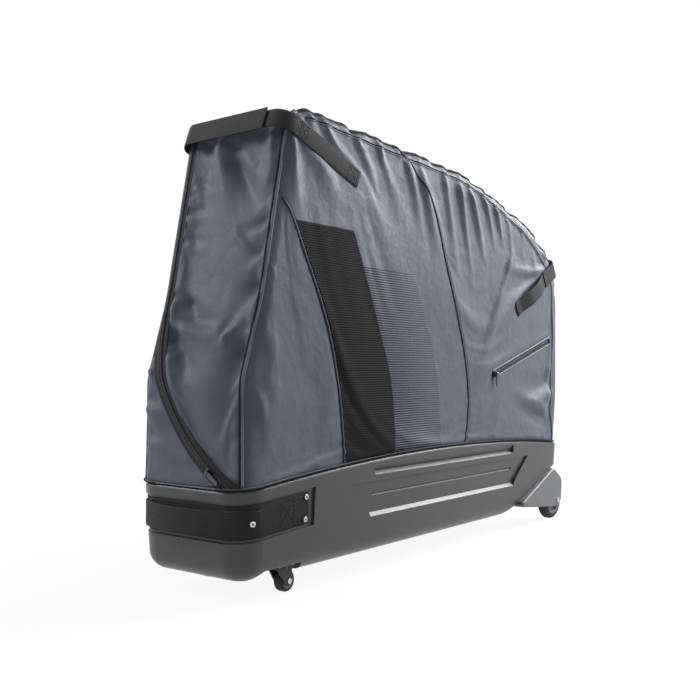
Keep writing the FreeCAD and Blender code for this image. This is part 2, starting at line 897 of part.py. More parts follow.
def zip_field(inset):
    """Everything on the opening side of the zip line, drawn in by an inset."""
    radius = zip_sweep_radius - inset
    centre_y = zip_edge - zip_sweep_radius
    centre_z = zip_sweep_height
    half_turn = math.radians(45)
    low = on_front(centre_y, centre_z - radius)
    middle = on_front(centre_y + radius * math.cos(half_turn), centre_z - radius * math.sin(half_turn))
    high = on_front(centre_y + radius, centre_z)
    top = bag_height + overrun
    corners = [high, on_front(centre_y + radius, top), on_front(centre_y, top), low]
    edges = [Part.Arc(low, middle, high).toShape()]
    edges += [Part.LineSegment(corners[i], corners[i + 1]).toShape() for i in range(3)]
    return lengthways(Part.Wire(edges), -half_length - overrun, half_length + overrun)


def seam_field(shares, gap):
    """Everything ahead of a seam on the left side, moved forward by a gap."""
    points = [on_side(span(x) - gap, rise(z)) for x, z in shares]
    edges = [Part.Arc(*points[i:i + 3]).toShape() for i in range(0, len(points) - 2, 2)]
    front = -half_length - overrun
    corners = [points[-1], on_side(front, points[-1].z), on_side(front, points[0].z), points[0]]
    edges += [Part.LineSegment(corners[i], corners[i + 1]).toShape() for i in range(3)]
    return across(Part.Wire(edges), -bag_half - overrun, 0)


def slab(low_x, high_x):
    """Thick slice of the case between two places along X."""
    return block((low_x, -tray_width, 0), (high_x, tray_width, bag_height + overrun))


def cloth_pieces():
    """Every panel of the cloth upper and the two zip tapes, by node name."""
    upper = above_rim(fit_gap)
    outer = bag_form(0)
    shell = outer.cut(bag_form(panel_thickness)).common(upper)
    thin = outer.cut(bag_form(zip_tape_thickness)).common(upper)
    pieces = {}
    side = shell.common(side_field(bag_edge_radius))
    front = side.common(seam_field(front_seam_shares, 0))
    rest = side.cut(seam_field(front_seam_shares, -seam_gap))
    pieces["left_front_panel"] = front
    pieces["left_middle_panel"] = rest.common(seam_field(middle_seam_shares, 0))
    pieces["left_rear_panel"] = rest.cut(seam_field(middle_seam_shares, -seam_gap)).cut(pocket_slot(seam_gap))
    frame = shell.common(zip_field(zip_tape_width + seam_gap)).cut(side_field(bag_edge_radius - seam_gap))
    ends = half_length + overrun
    front_split = span(front_top_split_share)
    rear_split = span(rear_top_split_share)
    pieces["front_panel"] = frame.common(slab(-ends, front_split))
    pieces["top_panel"] = frame.common(slab(front_split + seam_gap, rear_split - seam_gap))
    pieces["rear_panel"] = frame.common(slab(rear_split, ends))
    pieces["lid_zip_tape"] = thin.common(zip_field(zip_gap / 2)).cut(zip_field(zip_tape_width))
    pieces["wall_zip_tape"] = thin.common(zip_field(-zip_tape_width)).cut(zip_field(-zip_gap / 2))
    wall = shell.cut(zip_field(-zip_tape_width - seam_gap))
    edge = bag_half - bag_edge_radius
    pieces["right_wall"] = wall.common(block((-ends, edge, 0), (ends, tray_width, bag_height + overrun)))
    gores = wall.common(block((-ends, -tray_width, 0), (ends, edge - seam_gap, bag_height + overrun)))
    pieces["front_gore"] = gores.common(slab(-ends, 0))
    pieces["rear_gore"] = gores.common(slab(0, ends))
    return pieces


def overlay_panel():
    """Dark overlay sewn on the left middle panel, between the front seam and its own curved rear edge."""
    layer = side_field(bag_edge_radius + overlay_seam_gap).common(above_rim(overlay_seam_gap))
    low = (-half_length, -bag_half - overlay_thickness, 0)
    high = (half_length, -bag_half, rise(overlay_top_share))
    layer = layer.common(block(low, high)).common(seam_field(overlay_edge_shares, 0))
    return layer.cut(seam_field(front_seam_shares, -overlay_seam_gap))


# Zip sliders

def placed(shape, place, along, up):
    """Moves a piece made on X and Z to a place, with X turned to one direction and Z to another."""
    side = up.cross(along)
    turn = FreeCAD.Matrix(
        along.x, side.x, up.x, place.x,
        along.y, side.y, up.y, place.y,
        along.z, side.z, up.z, place.z,
        0, 0, 0, 1)
    return shape.transformed(turn, True)


pin_height = slider_height + pull_eye_radius + fit_gap


def slider_piece():
    """Slider body with two posts and the pin that the pull hangs on."""
    x = slider_length / 2
    y = slider_width / 2
    body = block((-x, -y, 0), (x, y, slider_height))
    corners = [edge for edge in body.Edges if edge.BoundBox.ZLength > slider_height / 2]
    body = body.makeFillet(slider_round, corners)
    post = pull_width / 2 + fit_gap
    for step in (-1, 1):
        near = step * post
        far = step * (post + slider_post)
        low = (-slider_post / 2, min(near, far), slider_height)
        high = (slider_post / 2, max(near, far), pin_height + pull_pin_radius)
        body = body.fuse(block(low, high))
    pin = rod(pull_pin_radius, (0, -post, pin_height), (0, post, pin_height))
    return body.fuse(pin).removeSplitter()


def pull_piece():
    """Pull tab with an eye round the slider's pin, lying back along -X."""
    half = pull_width / 2
    eye = rod(pull_eye_radius, (0, -half, pin_height), (0, half, pin_height))
    low = (-pull_length, -half, pin_height - pull_thickness / 2)
    high = (0, half, pin_height + pull_thickness / 2)
    tab = block(low, high)
    tips = [edge for edge in tab.Edges if edge.BoundBox.XMax < -half]
    tips = [edge for edge in tips if edge.BoundBox.ZLength > pull_thickness / 2]
    tab = tab.makeFillet(half - tolerance, tips)
    hole = rod(pull_pin_radius + pull_eye_gap, (0, -half, pin_height), (0, half, pin_height))
    return eye.fuse(tab).removeSplitter().cut(hole)


def main_slider_frame():
    """Place, running direction and outward direction of the main zip's slider on the front."""
    turn = math.radians(zip_slider_angle)
    y = zip_edge - zip_sweep_radius + zip_sweep_radius * math.cos(turn)
    z = zip_sweep_height - zip_sweep_radius * math.sin(turn)
    place = V(-half_length + bag_front_inset - fit_gap, y, z)
    return place, V(0, math.sin(turn), math.cos(turn)), V(-1, 0, 0)


# Pocket on the left rear panel

pocket_low = V(span(pocket_zip_low_shares[0]), -bag_half, rise(pocket_zip_low_shares[1]))
pocket_high = V(span(pocket_zip_high_shares[0]), -bag_half, rise(pocket_zip_high_shares[1]))
pocket_way = (pocket_high - pocket_low).normalize()


def pocket_strip(width, margin, low_y, high_y):
    """Strip along the pocket zip, between two places along Y from the outside of the cloth."""
    up = V(-pocket_way.z, 0, pocket_way.x)
    start = pocket_low - pocket_way * margin
    end = pocket_high + pocket_way * margin
    half = width / 2
    points = [start - up * half, end - up * half, end + up * half, start + up * half]
    wire = rounded_wire([(p.x, p.z, 0) for p in points], on_side)
    return across(wire, -bag_half + low_y, -bag_half + high_y)


def pocket_slot(gap):
    """Opening in the panel for the pocket zip."""
    return pocket_strip(pocket_zip_width + 2 * gap, pocket_zip_margin + gap, -overrun, overrun)


def pocket_zip():
    """Zip tape set into the opening."""
    return pocket_strip(pocket_zip_width, pocket_zip_margin, 0, zip_tape_thickness)


def pocket_pouch():
    """Flat pouch hanging behind the zip, inside the panel."""
    low = panel_thickness + fit_gap
    front = pocket_low.x - pocket_pouch_margin
    rear = pocket_high.x - pocket_pouch_margin
    foot = rim_crown + pocket_pouch_foot
    lift = pocket_pouch_margin
    corners = (
        (front, foot, pocket_pouch_margin),
        (rear, foot, pocket_pouch_margin),
        (rear, pocket_high.z + lift, 0),
        (front, pocket_low.z + lift, 0),
    )
    wire = rounded_wire(corners, on_side)
    return across(wire, -bag_half + low, -bag_half + low + pocket_pouch_thickness)


# Webbing over the front and rear top edges

def sloped_strap(corners, sign, slope, shares, width):
    """Webbing drawn in plan as (distance, y, radius), tilted to its slope and put where it is sewn on."""
    flat = [(sign * u, y, radius) for u, y, radius in corners]
    body = plate(rounded_wire(flat, in_plan(-width / 2)), V(0, 0, width))
    body.rotate(V(0, 0, 0), V(0, 1, 0), -sign * slope)
    body.translate(V(span(shares[0]), 0, rise(shares[1])))
    return body


def round_corner(side, start, run, turn, reach, layer):
    """Plan of webbing along one side, round the corner and across the end to a place along Y."""
    inner = side * (bag_half + fit_gap + layer)
    outer = inner + side * strap_thickness
    far = run + layer
    tip = far + strap_thickness
    return (
        (start, inner, 0),
        (far, inner, turn + layer),
        (far, reach, 0),
        (tip, reach, 0),
        (tip, outer, turn + layer + strap_thickness),
        (start, outer, 0),
    )


front_strap_run = span(front_strap_run_share)
rear_strap_run = span(rear_strap_run_share)
front_tab_layer = strap_thickness + front_tab_gap
front_tab_joint = bag_half - front_strap_corner


def front_webbing(corners, width):
    """Webbing piece of the front closure."""
    return sloped_strap(corners, -1, front_strap_angle, front_strap_shares, width)


def front_strap():
    """Closure strap from the left side round to the front, under the end of the tab."""
    corners = round_corner(-1, 0, front_strap_run, front_strap_corner, front_strap_reach, 0)
    return front_webbing(corners, front_strap_width)


def front_tab_base():
    """Sewn end of the tab on the right wall, round its corner."""
    run = front_strap_run + front_tab_layer
    corners = round_corner(1, 0, run, front_strap_corner, front_tab_joint, 0)
    return front_webbing(corners, front_tab_width)


def front_tab():
    """Free stretch of the tab across the front, which peels off the strap."""
    near = front_strap_run + front_tab_layer
    far = near + strap_thickness
    end = front_tab_joint - fit_gap
    corners = ((near, front_tab_reach, 0), (far, front_tab_reach, 0), (far, end, 0), (near, end, 0))
    return front_webbing(corners, front_tab_width)


def rear_webbing(corners, width):
    """Webbing piece of the rear handle, cut to the cloth where it is sewn on."""
    body = sloped_strap(corners, 1, rear_strap_angle, rear_strap_shares, width)
    return body.cut(bag_form(-fit_gap))


def rear_handle():
    """Grab handle from the left side, standing off across the rear, and back to the rear panel."""
    inner = bag_half + fit_gap
    outer = inner + strap_thickness
    far = rear_strap_run
    tip = far + strap_thickness
    turn = rear_strap_corner
    bend = rear_handle_return
    corners = (
        (0, -inner, 0),
        (far, -inner, turn),
        (far, rear_handle_reach - strap_thickness, bend - strap_thickness),
        (far - turn, rear_handle_reach - strap_thickness, 0),
        (far - turn, rear_handle_reach, 0),
        (tip, rear_handle_reach, bend),
        (tip, -outer, turn + strap_thickness),
        (0, -outer, 0),
    )
    return rear_webbing(corners, rear_strap_width)


def rear_sleeve():
    """Sleeve folded over the handle where it rounds the left corner."""
    layer = strap_thickness + fit_gap
    start = rear_strap_run - rear_sleeve_length
    corners = round_corner(-1, start, rear_strap_run, rear_strap_corner, rear_sleeve_reach, layer)
    return rear_webbing(corners, rear_sleeve_width)


# Inside

def floor_pad():
    """Foam pad on the tray's floor, between the caster pockets and the haunch."""
    low = tray_floor + tray_wall + seat_gap
    front = span(pad_front_share)
    rear = span(pad_rear_share)
    places = ((front, -1), (rear, -1), (rear, 1), (front, 1))
    corners = [(x, side * pad_half_width, pad_round) for x, side in places]
    return plate(rounded_wire(corners, in_plan(low)), V(0, 0, pad_thickness))


pad_top = tray_floor + tray_wall + seat_gap + pad_thickness
cradle_top = pad_top + cradle_height
cradle_x = span(cradle_share)


def frame_cradle():
    """Foam block with a notch across its top, where a cycle frame sits."""
    x = cradle_length / 2
    y = cradle_width / 2
    body = block((cradle_x - x, -y, pad_top), (cradle_x + x, y, cradle_top))
    corners = [edge for edge in body.Edges if edge.BoundBox.ZLength > cradle_height / 2]
    body = body.makeFillet(cradle_round, corners)
    notch = rod(cradle_notch, (cradle_x, -y - overrun, cradle_top), (cradle_x, y + overrun, cradle_top))
    return body.cut(notch)


def hold_straps():
    """Two webbing straps over the cradle, one each side of its notch, down to the pad."""
    straps = []
    inner = cradle_width / 2 + fit_gap
    outer = inner + hold_strap_thickness
    top = cradle_top + fit_gap
    corners = (
        (-outer, pad_top, 0),
        (-inner, pad_top, 0),
        (-inner, top, 0),
        (inner, top, 0),
        (inner, pad_top, 0),
        (outer, pad_top, 0),
        (outer, top + hold_strap_thickness, 0),
        (-outer, top + hold_strap_thickness, 0),
    )
    for step in (-1, 1):
        middle = cradle_x + step * hold_strap_spacing / 2
        wire = rounded_wire(corners, on_front)
        straps.append(lengthways(wire, middle - hold_strap_width / 2, middle + hold_strap_width / 2))
    return straps


def wall_stays(side):
    """Two stiffening rods standing against the inside of one wall."""
    y = side * (bag_half - panel_thickness - fit_gap - stay_radius)
    stays = []
    for share, top in zip(stay_shares, stay_top_shares):
        x = span(share)
        stays.append(rod(stay_radius, (x, y, rim_height(x, stay_foot)), (x, y, rise(top))))
    return stays


def wheel_pocket(side, depth):
    """Flat round pocket for a cycle wheel, against the inside of one wall."""
    x = span(wheel_pocket_share)
    radius = rise(wheel_pocket_size_share)
    z = rim_crown + wheel_pocket_foot + radius
    near = side * (bag_half - panel_thickness - depth)
    far = near - side * wheel_pocket_thickness
    return rod(radius, (x, near, z), (x, far, z))


def build():
    """Makes and writes every node."""
    os.makedirs("parts", exist_ok=True)
    save("base_tray", base_tray())
    save("hem_clamp", clamp_strip())
    save("tow_band", tow_band())
    save("tow_grip", tow_grip())
    save("tow_rivets", *[rivet(place, way) for place, way in band_rivets() + grip_rivets()])
    for name, side in (("left", -1), ("right", 1)):
        save(name + "_caster_plate", caster_plate_piece(side))
        save(name + "_caster_pin", caster_pin(side))
        save(name + "_caster_fork", caster_fork(side))
        save(name + "_caster_axle", caster_axle(side))
        save(name + "_caster_core", caster_core(side))
        save(name + "_caster_tyre", caster_tyre(side))
        save(name + "_wheel_housing", wheel_housing(side))
        save(name + "_rear_axle", rear_axle(side))
        save(name + "_rear_bearings", *rear_bearings(side))
        save(name + "_rear_core", rear_core(side))
        save(name + "_rear_tyre", rear_tyre(side))
    sides = (-1, 1)
    places = caster_screw_places()
    save("caster_screws", *[caster_screw(x, y, side, 0) for x, y in places for side in sides])
    shares = housing_screw_shares
    save("housing_screws", *[housing_screw(share, side, 0) for share in shares for side in sides])
    for name, piece in cloth_pieces().items():
        save(name, piece)
    save("left_overlay", overlay_panel())
    place, along, up = main_slider_frame()
    save("main_slider", placed(slider_piece(), place, along, up))
    save("main_pull", placed(pull_piece(), place, along, up))
    place = pocket_low - V(0, fit_gap, 0)
    save("pocket_slider", placed(slider_piece(), place, V(0, 0, 1), V(0, -1, 0)))
    save("pocket_pull", placed(pull_piece(), place, V(0, 0, 1), V(0, -1, 0)))
    save("pocket_zip", pocket_zip())
    save("pocket_pouch", pocket_pouch())
    save("front_strap", front_strap())
    save("front_tab", front_tab())
    save("front_tab_base", front_tab_base())
    save("rear_handle", rear_handle())
    save("rear_sleeve", rear_sleeve())
    save("floor_pad", floor_pad())
    save("frame_cradle", frame_cradle())
    save("hold_straps", *hold_straps())
    save("left_stays", *wall_stays(-1))
    save("right_stays", *wall_stays(1))
    save("left_wheel_pocket", wheel_pocket(-1, 2 * fit_gap + pocket_pouch_thickness))
    save("right_wheel_pocket", wheel_pocket(1, fit_gap))


build()
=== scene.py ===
import json
import math

import bpy
import numpy as np
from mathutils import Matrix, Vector
from mathutils.bvhtree import BVHTree


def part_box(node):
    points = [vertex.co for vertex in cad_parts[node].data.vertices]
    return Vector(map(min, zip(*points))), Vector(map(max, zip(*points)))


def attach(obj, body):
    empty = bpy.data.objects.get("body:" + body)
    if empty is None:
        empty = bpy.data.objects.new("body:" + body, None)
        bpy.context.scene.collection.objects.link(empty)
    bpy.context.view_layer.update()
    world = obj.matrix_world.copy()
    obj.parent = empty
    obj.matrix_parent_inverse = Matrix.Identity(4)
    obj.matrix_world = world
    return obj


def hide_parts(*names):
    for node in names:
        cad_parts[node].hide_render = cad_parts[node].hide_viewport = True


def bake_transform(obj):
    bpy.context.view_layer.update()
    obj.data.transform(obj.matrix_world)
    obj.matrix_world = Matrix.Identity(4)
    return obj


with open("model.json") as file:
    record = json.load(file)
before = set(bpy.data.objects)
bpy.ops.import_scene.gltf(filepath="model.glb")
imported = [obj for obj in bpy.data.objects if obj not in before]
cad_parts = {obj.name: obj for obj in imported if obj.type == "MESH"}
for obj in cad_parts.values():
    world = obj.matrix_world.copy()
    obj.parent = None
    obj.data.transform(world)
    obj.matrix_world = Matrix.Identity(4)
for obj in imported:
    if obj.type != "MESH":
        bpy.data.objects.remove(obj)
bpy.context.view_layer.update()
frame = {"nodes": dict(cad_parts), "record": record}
nodes = frame["nodes"]

# Bike travel case: a cloth upper on a moulded tray. In metres, with +Z up, -X the towing end and -Y the
# side that opens.

# The photograph's camera
CAMERA_PLACE = (-1.70654, -1.20578, 0.40363)
CAMERA_YAW = 37.61
CAMERA_PITCH = 1.17
CAMERA_LENS = 46.82

# Cloth upper: half width, rounding of its long edges, side outline as corners (x, z, radius), and the arch of
# the rim
HALF = -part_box("left_middle_panel")[0].y
EDGE = 0.026
OUTLINE = (
    (-0.606, 0.073, 0.0),
    (-0.606, 0.3853, 0.150),
    (-0.5563, 0.5406, 0.598),
    (-0.4863, 0.892, 0.0714),
    (0.1499, 0.8626, 0.892),
    (0.5049, 0.7707, 0.4014),
    (0.6307, 0.6708, 0.1427),
    (0.6269, 0.3300, 0.3033),
    (0.590, 0.073, 0.0),
)
RIM_CROWN = 0.232
RIM_MIDDLE = 0.040
RIM_ARCH = 6.0256
HEM_LIFT = 0.0006
SEAM_INSET = 0.0076
SEAM_Y = HALF - EDGE + EDGE * math.sin(math.radians(45))
CLOTH = 0.0016

# Seams on the side that opens, from the rim up, and the two panels beside the front one
FRONT_SEAM = ((-0.331, 0.226), (-0.336, 0.293), (-0.349, 0.374), (-0.372, 0.459), (-0.402, 0.530),
              (-0.447, 0.612), (-0.484, 0.684), (-0.504, 0.7165))
MIDDLE_SEAM = ((0.121, 0.231), (0.135, 0.278), (0.141, 0.346), (0.125, 0.431), (0.093, 0.525),
               (0.052, 0.620), (0.024, 0.690), (-0.007, 0.761), (-0.058, 0.812), (-0.135, 0.862))
DARK_EDGE = ((-0.168, 0.229), (-0.162, 0.322), (-0.176, 0.398), (-0.212, 0.482), (-0.271, 0.610),
             (-0.300, 0.672))
STRIPE_EDGE = ((0.015, 0.233), (0.016, 0.316), (0.004, 0.414), (-0.043, 0.519), (-0.094, 0.607))
DARK_TOP = 0.672
STRIPE_TOP = 0.607

# Main zip: a round sweep on the front and the rear, and a straight run along the right edge
ZIP_MIDDLE_Y = -0.289
ZIP_MIDDLE_Z = 0.5486
ZIP_SWEEP = 0.401
ZIP_TAPE = 0.014


# Paths and surfaces

def even(points, count):
    """Points spaced evenly along a path."""
    points = np.asarray(points, float)
    steps = np.linalg.norm(np.diff(points, axis=0), axis=1)
    run = np.concatenate([[0.0], np.cumsum(steps)])
    places = np.linspace(0.0, run[-1], count)
    return np.stack([np.interp(places, run, points[:, k]) for k in range(points.shape[1])], 1)


def smooth(points, rounds=4):
    """A path with its corners cut again and again, until it is a curve."""
    points = np.asarray(points, float)
    for _ in range(rounds):
        near = points[:-1] * 0.75 + points[1:] * 0.25
        far = points[:-1] * 0.25 + points[1:] * 0.75
        middle = np.stack([near, far], 1).reshape(-1, points.shape[1])
        points = np.concatenate([points[:1], middle[1:-1], points[-1:]])
    return points


def rounded(corners, turns=24):
    """Path through corners (u, v, radius), each rounded by its own arc."""
    path = [corners[0][:2]]
    for before, here, after in zip(corners, corners[1:], corners[2:]):
        place = np.array(here[:2])
        back = np.array(before[:2]) - place
        ahead = np.array(after[:2]) - place
        back /= np.linalg.norm(back)
        ahead /= np.linalg.norm(ahead)
        half = math.acos(float(np.clip(back @ ahead, -1, 1))) / 2
        middle = place + (back + ahead) / np.linalg.norm(back + ahead) * here[2] / math.sin(half)
        start = place + back * here[2] / math.tan(half) - middle
        end = place + ahead * here[2] / math.tan(half) - middle
        sweep = math.pi - 2 * half
        for k in range(turns + 1):
            share = k / turns
            part = start * math.sin((1 - share) * sweep) + end * math.sin(share * sweep)
            path.append(middle + part / math.sin(sweep))
    path.append(corners[-1][:2])
    return np.array(path)


def rim(x):
    """Height of the tray's arched rim."""
    return RIM_CROWN - RIM_ARCH + np.sqrt(RIM_ARCH ** 2 - (x - RIM_MIDDLE) ** 2)


def units(vectors):
    """Vectors brought to length 1."""
    return vectors / np.linalg.norm(vectors, axis=-1, keepdims=True)


def ways(path):
    """Directions along a path."""
    return units(np.gradient(path, axis=0))


def normals_of(path):
    """Directions to the left of a flat path, which are outwards on the side outline."""
    way = ways(path)
    return np.stack([-way[:, 1], way[:, 0]], 1)


def square_to(way, across):
    """Directions made square to others."""
    across = np.broadcast_to(np.asarray(across, float), way.shape)
    return units(across - way * (across * way).sum(-1, keepdims=True))


def length_of(path):
    """Length of a path."""
    return np.linalg.norm(np.diff(path, axis=0), axis=1).sum()


def circle(count):
    """Points of a circle of radius 1."""
    turns = np.linspace(0, 2 * math.pi, count, endpoint=False)
    return np.stack([np.cos(turns), np.sin(turns)], 1)


def at_y(flat, y):
    """Places (x, z) in space, at one or more depths."""
    return np.column_stack([flat[:, 0], np.broadcast_to(y, len(flat)), flat[:, 1]])


# Points that the outline is drawn with, and batches that long lists of distances are worked out in
STATIONS = 252
FINE_STATIONS = 1600
OUTLINE_STEPS = 4000
BATCHES = 40


def side_outline(count):
    """Side outline above the rim: up the front, back along the top and down the rear."""
    path = even(rounded(OUTLINE), OUTLINE_STEPS)
    return even(path[path[:, 1] > rim(path[:, 0]) + HEM_LIFT], count)


outline = side_outline(STATIONS)
outward = normals_of(outline)
fine_outline = side_outline(FINE_STATIONS)
edge_seam = outline - outward * SEAM_INSET


def lifted(y, lift=0.0):
    """Points on the bag's round-edged form, one at each station, standing off its surface by a lift."""
    y = np.broadcast_to(y, STATIONS)
    over = np.clip(np.abs(y) - (HALF - EDGE), 0.0, EDGE)
    turn = np.arcsin(over / EDGE)
    inset = EDGE - (EDGE + lift) * np.cos(turn)
    place_y = np.sign(y) * (np.minimum(np.abs(y), HALF - EDGE) + (EDGE + lift) * np.sin(turn))
    return at_y(outline - outward * inset[:, None], place_y)


def distance_to(points, path):
    """Distance of each point to the nearest point of a path."""
    best = np.full(len(points), np.inf)
    for part in np.array_split(np.asarray(path), BATCHES):
        gap = np.linalg.norm(points[:, None, :] - part[None, :, :], axis=2).min(1)
        best = np.minimum(best, gap)
    return best


def side_y(flat):
    """Depth of the bag's side at points (x, z): flat in the middle, rounded towards the outline."""
    gap = np.minimum(distance_to(flat, fine_outline), EDGE)
    return HALF - EDGE + np.sqrt(np.maximum(EDGE ** 2 - (EDGE - gap) ** 2, 0.0))


def patch(left, right, bottom, top):
    """Grid between four curves that meet at their ends: rows go up and columns go back."""
    rows = len(left)
    columns = len(bottom)
    u = np.linspace(0, 1, columns)[None, :, None]
    t = np.linspace(0, 1, rows)[:, None, None]
    sides = (1 - u) * left[:, None, :] + u * right[:, None, :]
    ends = (1 - t) * bottom[None, :, :] + t * top[None, :, :]
    lower = (1 - u) * bottom[0] + u * bottom[-1]
    upper = (1 - u) * top[0] + u * top[-1]
    return sides + ends - (1 - t) * lower - t * upper


# Meshes

class Shape:
    """Points, faces and surface coordinates of one piece, gathered from grids."""

    def __init__(self, grids=(), flip=False):
        self.points = []
        self.faces = []
        self.flat = []
        self.count = 0
        for grid in grids:
            self.grid(grid, flip)

    def grid(self, points, flip=False, wrap=False, caps=False):
        """Adds rows and columns of points. Wrapped columns close to a ring, and caps close its ends."""
        rows, columns = points.shape[:2]
        index = np.arange(rows * columns).reshape(rows, columns) + self.count
        following = np.roll(index, -1, 1) if wrap else index[:, 1:]
        here = index if wrap else index[:, :-1]
        quads = np.stack([here[:-1], following[:-1], following[1:], here[1:]], -1).reshape(-1, 4)
        if flip:
            quads = quads[:, ::-1]
        self.faces += quads.tolist()
        if caps:
            self.faces += [index[0, ::-1].tolist(), index[-1].tolist()]
        across = np.cumsum(np.linalg.norm(np.diff(points, axis=1, prepend=points[:, :1]), axis=2), 1)
        along = np.cumsum(np.linalg.norm(np.diff(points, axis=0, prepend=points[:1]), axis=2), 0)
        self.flat.append(np.stack([across, along], -1).reshape(-1, 2))
        self.points.append(points.reshape(-1, 3))
        self.count += rows * columns

    def sweep(self, path, side, up, profile):
        """Adds a solid swept along a path, its profile drawn on two directions that turn along it."""
        points = path[:, None] + side[:, None] * profile[:, :1] + up[:, None] * profile[:, 1:]
        self.grid(points, wrap=True, caps=True)

    def tube(self, path, radius, sides=8, reference=(0, 1, 0)):
        """Adds a round cord along a path."""
        way = ways(path)
        side = units(np.cross(way, reference))
        self.sweep(path, side, np.cross(way, side), circle(sides) * radius)

    def ribbon(self, path, across, width, thickness):
        """Adds flat webbing along a path, with its width laid along one direction."""
        way = ways(path)
        across = square_to(way, across)
        self.sweep(path, across, np.cross(way, across), webbing_profile(width, thickness))

    def box(self, centre, sizes, axes):
        """Adds a small block with its edges along three directions."""
        x, y, z = [np.asarray(axis, float) * size / 2 for axis, size in zip(axes, sizes)]
        loop = np.array([-x - y, x - y, x + y, -x + y])
        self.grid(np.stack([centre + loop - z, centre + loop + z]), wrap=True, caps=True)

    def piece(self, name, *finishes):
        """Makes the object, with its finishes in slots."""
        mesh = bpy.data.meshes.new(name)
        mesh.from_pydata(np.concatenate(self.points).tolist(), [], self.faces)
        layer = mesh.uv_layers.new(name="surface")
        corners = np.zeros(len(mesh.loops), np.int32)
        mesh.loops.foreach_get("vertex_index", corners)
        layer.data.foreach_set("uv", np.concatenate(self.flat)[corners].astype(np.float32).ravel())
        mesh.polygons.foreach_set("use_smooth", [True] * len(mesh.polygons))
        for finish in finishes:
            mesh.materials.append(finish)
        mesh.update()
        piece = bpy.data.objects.new(name, mesh)
        bpy.context.scene.collection.objects.link(piece)
        return piece


def webbing_profile(width, thickness):
    """Cross section of webbing: flat faces and full, rounded edges."""
    half = width / 2
    t = thickness / 2
    inner = half - 2 * min(t, half / 4)
    return np.array([(-half, -t / 2), (-inner, -t), (inner, -t), (half, -t / 2),
                     (half, t / 2), (inner, t), (-inner, t), (-half, t / 2)])


# Finishes

class Wire:
    """A socket among a finish's nodes. Arithmetic on wires adds Math nodes."""

    def __init__(self, tree, socket):
        self.tree = tree
        self.socket = socket

    def node(self, kind, settings, sockets, out=0):
        """Adds a node: first its settings, then the values or links of its sockets."""
        made = self.tree.nodes.new(kind)
        for name, value in settings.items():
            setattr(made, name, value)
        for name, value in sockets.items():
            if isinstance(value, Wire):
                self.tree.links.new(value.socket, made.inputs[name])
            else:
                made.inputs[name].default_value = value
        return Wire(self.tree, made.outputs[out])

    def maths(self, operation, first, second=0.0):
        """Adds a Math node."""
        return self.node("ShaderNodeMath", {"operation": operation}, {0: first, 1: second})

    def __add__(self, other):
        return self.maths("ADD", self, other)

    def __radd__(self, other):
        return self.maths("ADD", other, self)

    def __sub__(self, other):
        return self.maths("SUBTRACT", self, other)

    def __rsub__(self, other):
        return self.maths("SUBTRACT", other, self)

    def __mul__(self, other):
        return self.maths("MULTIPLY", self, other)

    def __pow__(self, other):
        return self.maths("POWER", self, other)

    def ripple(self, pitch):
        """A smooth wave from 0 to 1 for every pitch of length."""
        return self.maths("SINE", self * (2 * math.pi / pitch)) * 0.5 + 0.5

    def between(self, low, high):
        """0 at one value and 1 at another, smooth in between."""
        settings = {"interpolation_type": "SMOOTHSTEP"}
        return self.node("ShaderNodeMapRange", settings, {"Value": self, "From Min": low, "From Max": high})

    def parts(self):
        """The three numbers of a vector."""
        split = self.node("ShaderNodeSeparateXYZ", {}, {0: self})
        return [Wire(self.tree, out) for out in split.socket.node.outputs]

    def surface(self):
        """The piece's own surface coordinates: across it and along it."""
        return self.node("ShaderNodeUVMap", {"uv_map": "surface"}, {}).parts()[:2]

    def noise(self, scale, detail=2.0, rough=0.5):
        """Cloudy noise, from 0 to 1."""
        sockets = {"Vector": self, "Scale": scale, "Detail": detail, "Roughness": rough}
        return self.node("ShaderNodeTexNoise", {}, sockets)

    def crinkle(self, scale):
        """Sharp-edged folds from noise: 1 on the folds, less between them."""
        swell = self.noise(scale, 3.0, 0.5) - 0.5
        return 1.0 - swell.maths("ABSOLUTE", swell) * 2.6

    def tint(self, low, high):
        """A colour between two, by a number."""
        settings = {"data_type": "RGBA"}
        sockets = {0: self, 6: (*low, 1.0), 7: (*high, 1.0)}
        return self.node("ShaderNodeMix", settings, sockets, 2)

    def shades(self, colour, low, high):
        """A colour between two brightnesses of it, by a number."""
        return self.tint(scaled(colour, low), scaled(colour, high))

    def bump(self, height, strength, distance, normal=None):
        """Surface direction from a height."""
        sockets = {"Height": height, "Strength": strength, "Distance": distance}
        if normal is not None:
            sockets["Normal"] = normal
        return self.node("ShaderNodeBump", {}, sockets)


def finish(name, **fixed):
    """Starts a finish with fixed sockets: gives a point's place, and a function that wires other sockets."""
    material = bpy.data.materials.new(name)
    material.use_nodes = True
    tree = material.node_tree
    shader = tree.nodes["Principled BSDF"]
    for socket, value in fixed.items():
        shader.inputs[socket.replace("_", " ")].default_value = value

    def show(**sockets):
        for socket, wire in sockets.items():
            tree.links.new(wire.socket, shader.inputs[socket.replace("_", " ")])
        return material

    return Wire(tree, shader.outputs[0]).node("ShaderNodeTexCoord", {}, {}, 3), show


def scaled(colour, share):
    """A colour made lighter or darker."""
    return tuple(c * share for c in colour)


SLATE = (0.180, 0.198, 0.230)
INK = (0.0085, 0.0085, 0.0090)
WEBBING = (0.0135, 0.0135, 0.0145)
TRAY = (0.068, 0.069, 0.072)
LINING = (0.055, 0.057, 0.062)
NYLON_SHEEN = 0.13


